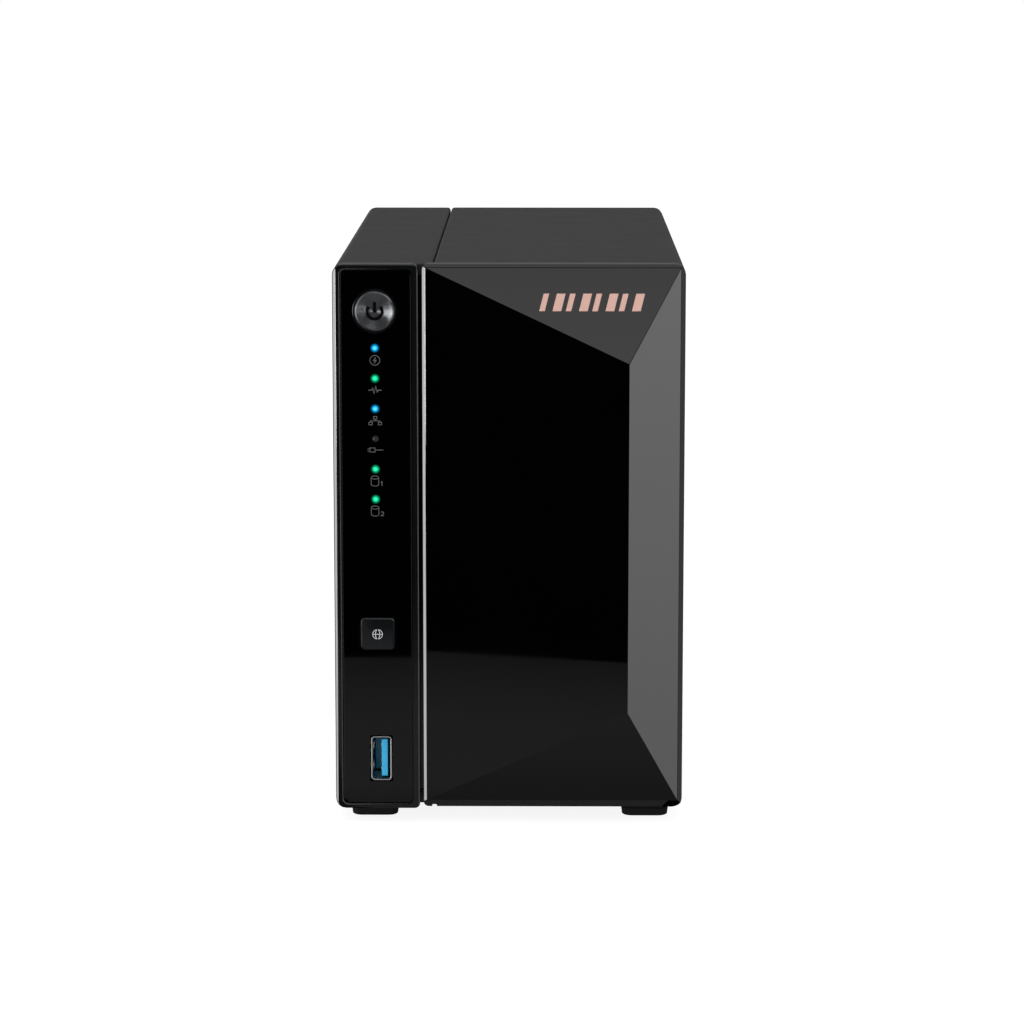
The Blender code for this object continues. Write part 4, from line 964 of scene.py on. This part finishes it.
def screw_mesh(name, radius, height, shank, length):
    """A pan head screw with a cross recess, standing on the origin and pointing up."""
    bm = bmesh.new()
    profile = [(radius * r, height * h) for r, h in ((0, 1), (0.55, 0.97), (0.86, 0.72), (1, 0.3), (1, 0))]
    profile += [(shank, 0), (shank, -length), (0, -length - shank * 0.5)]
    lathe(bm, profile, (0, 0, 0), "up", 32)
    bmesh.ops.recalc_face_normals(bm, faces=bm.faces)
    blank = object_of(name, mesh_of(name, bm))
    bm = bmesh.new()
    arm, thick, deep = radius * 0.52, radius * 0.15, height * 0.72
    prism(bm, rounded((-arm, -thick), (arm, thick), thick * 0.6, 2), height - deep, height + 1, "Z")
    prism(bm, rounded((-thick, -arm), (thick, arm), thick * 0.6, 2), height - deep - 0.07, height + 1.1, "Z")
    bmesh.ops.recalc_face_normals(bm, faces=bm.faces)
    cutter = object_of(name + " cross", mesh_of(name + " cross", bm))
    recess = blank.modifiers.new("recess", "BOOLEAN")
    recess.operation = "DIFFERENCE"
    recess.object = cutter
    recess.use_self = True
    bpy.context.view_layer.update()
    cut = blank.evaluated_get(bpy.context.evaluated_depsgraph_get())
    done = bpy.data.meshes.new_from_object(cut)
    done.transform(Matrix.Scale(MM, 4))
    bpy.data.objects.remove(blank)
    bpy.data.objects.remove(cutter)
    return done


def screws(name, template, places, body, material, stands_for=()):
    """One piece that holds every screw of a kind, each turned a little differently."""
    bm = bmesh.new()
    turns = random.Random(len(places) * 7 + len(name))
    for at, towards in places:
        before = len(bm.verts)
        bm.from_mesh(template)
        bm.verts.ensure_lookup_table()
        spin = Matrix.Rotation(turns.uniform(0, math.pi / 2), 4, "Z")
        where = Matrix.Translation(Vector(at) * MM) @ TOWARDS[towards] @ spin
        bmesh.ops.transform(bm, matrix=where, verts=bm.verts[before:])
    show(name, mesh_of(name, bm), body, material, stands_for)


def rear_panel():
    refine("rear_panel", CASE, 0.2)
    lan_jack()
    dc_jack()
    refine("reset_switch", NYLON, 0.2)
    refine("reset_plunger", IVORY, 0.15)


def lan_jack():
    """The shielded can, its eight contacts, and two light windows beside the latch."""
    refine("lan_jack", NICKEL, 0.15)
    start, end = low("lan_jack"), high("lan_jack")
    bm = bmesh.new()
    for i in range(8):
        z = (start.z + end.z) / 2 - 3.57 + 1.02 * i
        box(bm, (start.x + 2.45, end.y - 11.0, z - 0.2), (start.x + 3.3, end.y - 2.0, z + 0.2))
    piece("lan_contacts", bm, "chassis", GOLD)
    for number, (z, colour) in enumerate(((start.z + 1.9, "green"), (end.z - 1.9, "off")), start=1):
        bm = bmesh.new()
        window = around(end.x - 1.7, z, 2.0, 2.6)
        prism(bm, rounded(*window, 0.4, 3), end.y - 0.4, end.y + 0.12)
        lens = glowing(f"lan light {number}", LED_COLOURS[colour], (end.x - 1.7, end.y, z), 1.6, 0.7)
        piece(f"lan_light_{number}", bm, "chassis", lens, (), 0.08)


def dc_jack():
    """The inlet's block, a plated ring at its mouth and the centre pin's tip."""
    refine("dc_jack", NYLON, 0.25)
    centre, end = middle("dc_jack"), high("dc_jack")
    bm = bmesh.new()
    profile = [(3.2, 0.0), (3.28, 0.12), (3.9, 0.12), (4.0, 0.0), (4.0, -0.05)]
    lathe(bm, profile, (centre.x, end.y, centre.z), "rear", 40)
    piece("dc_ring", bm, "chassis", NICKEL)
    bm = bmesh.new()
    lathe(bm, [(1.06, -8.5), (1.06, -1.2), (0.85, -0.85), (0, -0.8)], (centre.x, end.y, centre.z), "rear", 24)
    piece("dc_pin", bm, "chassis", NICKEL)


# ---------------- fan


FAN_BLADES = 7
BLADE_ROOT = 12.7
BLADE_REACH = 31.0
BLADE_GRID = 9  # points along a blade, and across it


def fan():
    """The frame, the hub and its blades, and the lead."""
    refine("fan_frame", NYLON, 0.3)
    centre = middle("fan_frame")
    front, back = low("fan_rotor").y, high("fan_rotor").y
    deep = back - front
    bm = bmesh.new()
    profile = [(0, deep), (10.5, deep), (12.4, deep - 0.7), (13, deep - 2.2)]
    profile += [(13, 0.3), (12.7, 0), (4, 0), (2.0, 0.4), (2.0, 12), (0, 12)]
    lathe(bm, profile, (centre.x, back, centre.z), "front", 64)
    piece("fan_hub", bm, "fan_wheel", NYLON, ["fan_rotor"], angle=30)
    bm = bmesh.new()
    for number in range(FAN_BLADES):
        fan_blade(bm, (centre.x, (front + back) / 2 - 0.4, centre.z), 2 * math.pi * number / FAN_BLADES)
    wheel = piece("fan_blades", bm, "fan_wheel", NYLON, ["fan_rotor"])
    skin = wheel.modifiers.new("thickness", "SOLIDIFY")
    skin.thickness = 1.1 * MM
    skin.offset = 0
    round_edges(wheel, 0.3, "ANGLE", 50)
    refine("fan_lead", LEAD, 0)


def fan_blade(bm, centre, start):
    """A curved sheet from the hub outwards, pitched most at its root and swept a little round the axis."""
    grid = []
    for i in range(BLADE_GRID):
        out = i / (BLADE_GRID - 1)
        radius = BLADE_ROOT + (BLADE_REACH - BLADE_ROOT) * out
        chord = math.radians(38 + 4 * out)
        pitch_rise = 11.5 - 3.5 * out
        line = []
        for j in range(BLADE_GRID):
            across = j / (BLADE_GRID - 1) - 0.5
            angle = start + across * chord + 0.28 * out
            rise = across * pitch_rise + 1.1 * math.cos(across * math.pi)
            u, v = radius * math.cos(angle), radius * math.sin(angle)
            line.append(bm.verts.new((centre[0] + u, centre[1] + rise, centre[2] + v)))
        grid.append(line)
    for a, b in zip(grid, grid[1:]):
        for j in range(BLADE_GRID - 1):
            bm.faces.new((a[j], a[j + 1], b[j + 1], b[j]))


# ---------------- inside


def boards_and_disks():
    """The materials of the inner CAD nodes, and how far their edges are rounded."""
    for material, edge, nodes in (
        (BOARD_X, 0.1, "mainboard drive_1_board drive_2_board"),
        (BOARD_Y, 0.1, "front_board sata_backplane"),
        (CHIP, 0.15, "processor"),
        (CHIP, 0.1, "memory_chip"),
        (NYLON, 0.2, "riser_slot power_switch backup_switch"),
        (NYLON, 0.3, "sata_connector_1 sata_connector_2"),
        (IVORY, 0.15, "power_plunger backup_plunger"),
        (FINS, 0.12, "heat_sink"),
        (CELL, 0.3, "coin_cell"),
        (SHEET, 0.15, "chassis_frame drive_cage"),
        (CAST, 0.8, "drive_1_body drive_2_body"),
        (LID, 0.25, "drive_1_lid drive_2_lid"),
    ):
        for node in nodes.split():
            refine(node, material, edge)


def main_board_parts():
    """Capacitors, chokes, small chips and headers on the mainboard, clear of its larger parts."""
    face = high("mainboard").x
    bm = bmesh.new()
    profile = [(0, 7.4), (2.6, 7.4), (3.0, 7.0), (3.0, 1.3), (2.75, 1.0), (3.0, 0.7), (3.1, 0), (0, 0)]
    for y, z in ((-70, 110), (-62, 110), (-70, 98), (40, 112), (48, 112), (56, 112), (30, 40), (38, 40)):
        lathe(bm, profile, (face, y, z), "right", 24)
    piece("mainboard_capacitors", bm, "chassis", CAPACITOR, angle=30)
    bm = bmesh.new()
    for y, z in ((-70, 84), (-70, 74), (26, 52), (36, 56), (46, 58), (70, 126)):
        box(bm, (face, y - 3, z - 3), (face + 3.4, y + 3, z + 3))
    piece("mainboard_chokes", bm, "chassis", CHOKE, (), 0.5)
    bm = bmesh.new()
    scatter = random.Random(11)
    # The larger parts stand in these ranges of y and z
    taken = [((-24, 22), (56, 103)), ((-48, -32), (46, 90)), ((60, 80), (50, 112)), ((80, 99), (26, 130))]
    taken += [((-64, -40), (38, 62)), ((54, 70), (20, 34)), ((24, 60), (36, 62)), ((-76, -58), (70, 116))]
    small_parts = 70
    placed = 0
    while placed < small_parts:
        y, z = scatter.uniform(-74, 76), scatter.uniform(20, 142)
        if any(a[0] < y < a[1] and b[0] < z < b[1] for a, b in taken):
            continue
        long = scatter.choice((1.6, 2.0, 3.0, 5.0))
        wide = scatter.choice((0.8, 1.2, 2.4))
        box(bm, (face, y - long / 2, z - wide / 2), (face + 0.7 + wide * 0.15, y + long / 2, z + wide / 2))
        placed += 1
    piece("mainboard_small_parts", bm, "chassis", CHIP, (), 0.06)
    bm = bmesh.new()
    for y, z in ((-66, 30), (-66, 46), (30, 128)):
        box(bm, (face, y - 4, z - 2.4), (face + 6, y + 4, z + 2.4))
    piece("mainboard_headers", bm, "chassis", IVORY, (), 0.3)
    start, end = low("processor"), high("processor")
    bm = bmesh.new()
    box(bm, (start.x - 0.25, start.y - 1.5, start.z - 1.5), (start.x + 0.5, end.y + 1.5, end.z + 1.5))
    piece("processor_carrier", bm, "chassis", BOARD_X, (), 0.08)


def disk_details():
    """What shows on a disk through the cage: the motor's disc and a few chips on its board."""
    for number in (1, 2):
        board_end = high(f"drive_{number}_board")
        board_start = low(f"drive_{number}_board")
        bm = bmesh.new()
        for y, z, wide, tall in ((20, 60, 14, 14), (2, 92, 10, 8), (38, 96, 9, 12), (44, 52, 7, 5)):
            (left, down), (right, up) = around(y, z, wide, tall)
            box(bm, (board_end.x - 0.02, left, down), (board_end.x + 0.65, right, up))
        piece(f"drive_{number}_chips", bm, "chassis", CHIP, (), 0.1)
        bm = bmesh.new()
        body_right = high(f"drive_{number}_body").x
        profile = [(0, 0.9), (9, 0.9), (9.6, 0.5), (14, 0.4), (15, -0.05), (0, -0.05)]
        lathe(bm, profile, (body_right, board_start.y - 24, middle(f"drive_{number}_body").z), "right", 64)
        piece(f"drive_{number}_motor", bm, "chassis", LID, angle=25)


def frame_screws():
    """Short screws on the mainboard, and on the frame's web and its flanges."""
    frame_left = low("chassis_frame")
    frame_right = high("chassis_frame")
    board = high("mainboard").x
    places = [((board + 0.02, y, z), "right") for y, z in ((-68, 22), (-68, 138), (50, 22), (80, 138))]
    web = frame_right.x - 1.2
    places += [((web - 0.02, y, z), "left") for y in (-70, 44) for z in (40, 122)]
    for y in (-70, 78):
        places.append(((-31, y, frame_right.z - 1.22), "down"))
        places.append(((-31, y, frame_left.z + 1.22), "up"))
    template = screw_mesh("machine screw", 2.7, 1.6, 1.3, 2.4)
    screws("machine_screws", template, places, "chassis", BRIGHT_ZINC)


def disk_screws():
    """Two over and two under each disk, through the cage."""
    cage_start, cage_end = low("drive_cage"), high("drive_cage")
    places = []
    for number in (1, 2):
        x = low(f"drive_{number}_lid").x + 12.4
        for y in (-58.0, 43.6):
            places.append(((x, y, cage_end.z + 0.02), "up"))
            places.append(((x, y, cage_start.z - 0.02), "down"))
    template = screw_mesh("disk screw", 2.9, 1.5, 1.3, 5.5)
    screws("drive_screws", template, places, "chassis", BRIGHT_ZINC)


def rear_screws():
    """The screws of the rear panel, and those that hold the fan on it."""
    back = high("rear_panel").y
    places = [((-44.2, back + 0.02, z), "rear") for z in (11.2, 156.0)]
    places += [((-11.0, back + 0.02, z), "rear") for z in (24.0, 132.0)]
    template = screw_mesh("rear screw", 2.8, 1.6, 1.3, 5.0)
    screws("rear_panel_screws", template, places, "chassis", BLACK_ZINC)
    tall = 1.7
    template = screw_mesh("fan screw", 2.8, tall, 1.35, 9.0)
    for number in range(1, 5):
        node = f"fan_screw_{number}"
        at = middle(node)
        place = ((at.x, high(node).y - tall, at.z), "rear")
        screws(node + "_head", template, [place], "chassis", BLACK_ZINC, [node])


def front_panel_screws():
    """The screws through the right shell's front tabs into the faceted panel."""
    tab = -88.0
    places = [((x, tab + 0.02, z), "rear") for x in (8.0, 38.0) for z in (13.0, 156.0)]
    template = screw_mesh("front screw", 2.8, 1.6, 1.3, 5.6)
    screws("front_panel_screws", template, places, "cover", BRIGHT_ZINC)


# ---------------- stage


def emission(name, low_strength, high_strength):
    """A soft panel whose brightness runs from its lower to its upper edge."""
    material, tree, result = bare_material(name)
    source = tree.nodes.new("ShaderNodeTexCoord")
    split = tree.nodes.new("ShaderNodeSeparateXYZ")
    tree.links.new(source.outputs["Generated"], split.inputs["Vector"])
    strength = remap(tree, split.outputs["Y"], 0, 1, low_strength, high_strength)
    light = tree.nodes.new("ShaderNodeEmission")
    tree.links.new(strength, light.inputs["Strength"])
    tree.links.new(light.outputs[0], result)
    return material


def sheet(name, corners, material, in_reflections=True):
    """A flat sheet of the set. It shows only in reflections, or everywhere but in them."""
    bm = bmesh.new()
    bm.faces.new([bm.verts.new((u * MM, v * MM, w * MM)) for u, v, w in corners])
    mesh = mesh_of(name, bm)
    mesh.materials.append(material)
    obj = object_of(name, mesh)
    obj.visible_glossy = in_reflections
    if in_reflections:
        obj.visible_camera = False
        obj.visible_diffuse = False
        obj.visible_transmission = False
        obj.visible_shadow = False
    return obj


def panel(name, centre, facing, width, height, low_strength, high_strength):
    """A studio panel that shows only in reflections. Its upper edge is up, or away where it lies flat."""
    corners = [(u, v, 0) for u, v in rectangle(0, 0, width, height)]
    obj = sheet(name, corners, emission(name, low_strength, high_strength))
    obj.location = Vector(centre) * MM
    obj.rotation_euler = (Vector(facing) - Vector(centre)).to_track_quat("Z", "Y").to_euler()


def mirror_panel(name, points, normal, distance, margin, low_strength, high_strength):
    """A panel placed where a flat facet, seen from the camera, reflects it all."""
    eye = Vector(CAMERA_AT)
    normal = Vector(normal).normalized()
    ends = []
    for point in points:
        sight = (Vector(point) - eye).normalized()
        bounce = sight - 2 * sight.dot(normal) * normal
        ends.append(Vector(point) + bounce * distance)
    centre = sum(ends, Vector()) / len(ends)
    target = sum((Vector(p) for p in points), Vector()) / len(points)
    turn = (target - centre).to_track_quat("Z", "Y").to_matrix().inverted()
    local = [turn @ (end - centre) for end in ends]
    width = 2 * max(abs(p.x) for p in local) + margin
    height = 2 * max(abs(p.y) for p in local) + margin
    panel(name, centre, target, width, height, low_strength, high_strength)


def floor_glow():
    """A painted reflection of the pale table top in front of the box, as its gloss shows it: brightest in its
    middle, and darker nearest the box as painted shadow of the box.
    """
    near, far = -96.0, -337.6
    material, tree, result = bare_material("table glow")
    split = tree.nodes.new("ShaderNodeSeparateXYZ")
    tree.links.new(object_place(tree), split.inputs["Vector"])
    ramp = tree.nodes.new("ShaderNodeValToRGB")
    place = remap(tree, split.outputs["Y"], far * MM, near * MM, 0, 1)
    tree.links.new(place, ramp.inputs["Fac"])
    # Darker towards the far edge, and darker again near the box, where the box's painted shadow falls.
    stops = ((0.0, 0.16), (0.4, 0.29), (0.78, 0.31), (0.93, 0.2), (1.0, 0.16))
    elements = ramp.color_ramp.elements
    for i, (at, value) in enumerate(stops):
        element = elements[i] if i < 2 else elements.new(at)
        element.position = at
        element.color = (value, value, value, 1)
    light = tree.nodes.new("ShaderNodeEmission")
    tree.links.new(ramp.outputs["Color"], light.inputs["Color"])
    tree.links.new(light.outputs[0], result)
    outline = ((-330, far), (290, far), (44, near), (-40, near), (-58, -160))
    sheet("table_glow", [(u, v, -0.5) for u, v in outline], material)


def floor():
    """A wide floor that glows a little, so that it's white with only a faint shadow at the feet."""
    grey = (0.16, 0.16, 0.16)
    material, tree, shader = surface("pale floor", grey, 0.9)
    values(shader, {"Specular IOR Level": 0, "Emission Color": (1, 1, 1, 1), "Emission Strength": 0.89})
    tint(tree, shader, noise(tree, 900, 2), (0.15, 0.15, 0.15), (0.17, 0.17, 0.17))
    reach = 12000
    corners = [(u, v, -0.1) for u, v in rectangle(0, 0, reach, reach)]
    sheet("floor", corners, material, in_reflections=False)


def lights():
    world = bpy.data.worlds.new("studio")
    world.use_nodes = True
    values(world.node_tree.nodes["Background"], {"Color": (1, 1, 1, 1), "Strength": 1.0})
    bpy.context.scene.world = world
    world.cycles_visibility.glossy = False
    bpy.context.scene.view_settings.view_transform = "Standard"
    for name, at, size, power in (
        ("overhead", (0, -250, 1500), 1.6, 9.0),
        ("front fill", (-500, -1300, 700), 1.0, 3.0),
    ):
        data = bpy.data.lights.new(name, "AREA")
        data.shape = "SQUARE"
        data.size = size
        data.energy = power
        lamp = object_of(name, data)
        lamp.location = Vector(at) * MM
        aim = Vector((0, 0, 80)) - Vector(at)
        lamp.rotation_euler = aim.to_track_quat("-Z", "Y").to_euler()
        lamp.visible_glossy = False


def reflections():
    """Soft panels for the gloss: one for each lit facet, both sides, the back and the ceiling."""
    panel_low, panel_high = low("faceted_front"), high("faceted_front")
    ridge_x = 34.6
    ridge_low, ridge_high = 34.8, 137.1
    rim = low("front_bezel").y
    front = panel_low.y
    left, right = panel_low.x + 1.2, panel_high.x - 1.4
    top, foot_z = panel_high.z - 1.4, panel_low.z + 2.6
    ridge = ((ridge_x, front, ridge_low), (ridge_x, front, ridge_high))
    slope_up = Vector((0, -(top - ridge_high), rim - front))
    points = ((left, rim, top), (right, rim, top), ridge[1])
    mirror_panel("top softbox", points, slope_up, 900, 160, 1.55, 0.95)
    slope_right = Vector((rim - front, -(right - ridge_x), 0))
    points = (ridge[0], ridge[1], (right, rim, top), (right, rim, foot_z))
    mirror_panel("right softbox", points, slope_right, 700, 160, 2.0, 3.6)
    panel("left key", (-640, -470, -20), (-25, -101, 80), 260, 620, 1.75, 2.3)
    panel("left softbox", (-900, -120, 20), (0, -100, 90), 700, 700, 1.6, 2.0)
    panel("left rear softbox", (-700, 700, 100), (0, 0, 90), 800, 700, 0.8, 1.0)
    panel("right side softbox", (900, 100, 60), (0, -100, 90), 900, 800, 0.6, 0.8)
    panel("rear softbox", (0, 1500, 420), (0, 0, 150), 2600, 600, 0.06, 0.4)
    panel("upper right softbox", (1000, 0, 1100), (0, 0, 160), 1100, 900, 2.2, 2.2)
    panel("upper left softbox", (-1000, 0, 900), (0, 0, 160), 1100, 700, 0.9, 0.9)
    panel("front left card", (-542, -847, 110), (-38.7, -101, 150), 260, 260, 10.0, 10.0)
    panel("rear key", (-700, 900, 420), (0, 100, 80), 500, 500, 1.4, 1.4)
    panel("rear table", (0, 620, 1), (0, 620, 1000), 1600, 980, 0.3, 0.3)
    panel("left table", (-440, 30, 1), (-440, 30, 1000), 720, 180, 0.3, 0.3)
    panel("right table", (440, 30, 1), (440, 30, 1000), 720, 180, 0.3, 0.3)
    panel("ceiling", (0, 100, 1500), (0, 0, 0), 1500, 1200, 1.05, 1.05)


def camera():
    data = bpy.data.cameras.new("camera")
    data.sensor_width = 36
    data.lens = CAMERA_LENS
    data.clip_start = 0.05
    data.clip_end = 100
    obj = object_of("camera", data)
    obj.location = Vector(CAMERA_AT) * MM
    obj.rotation_euler = (math.radians(90 - CAMERA_PITCH), 0, math.radians(CAMERA_YAW))
    bpy.context.scene.camera = obj


camera()
lights()
floor()
floor_glow()
reflections()
bezel_and_window()
for number in range(1, 7):
    status_light(number)
column_symbols()
power_button()
backup_button()
usb_socket("front_usb", 1)
usb_socket("rear_usb_1", -1)
usb_socket("rear_usb_2", -1)
badge()
case_and_feet()
rear_panel()
thumbscrew("thumbscrew_upper", "upper_thumbscrew")
thumbscrew("thumbscrew_lower", "lower_thumbscrew")
fan()
boards_and_disks()
main_board_parts()
disk_details()
frame_screws()
disk_screws()
rear_screws()
front_panel_screws()
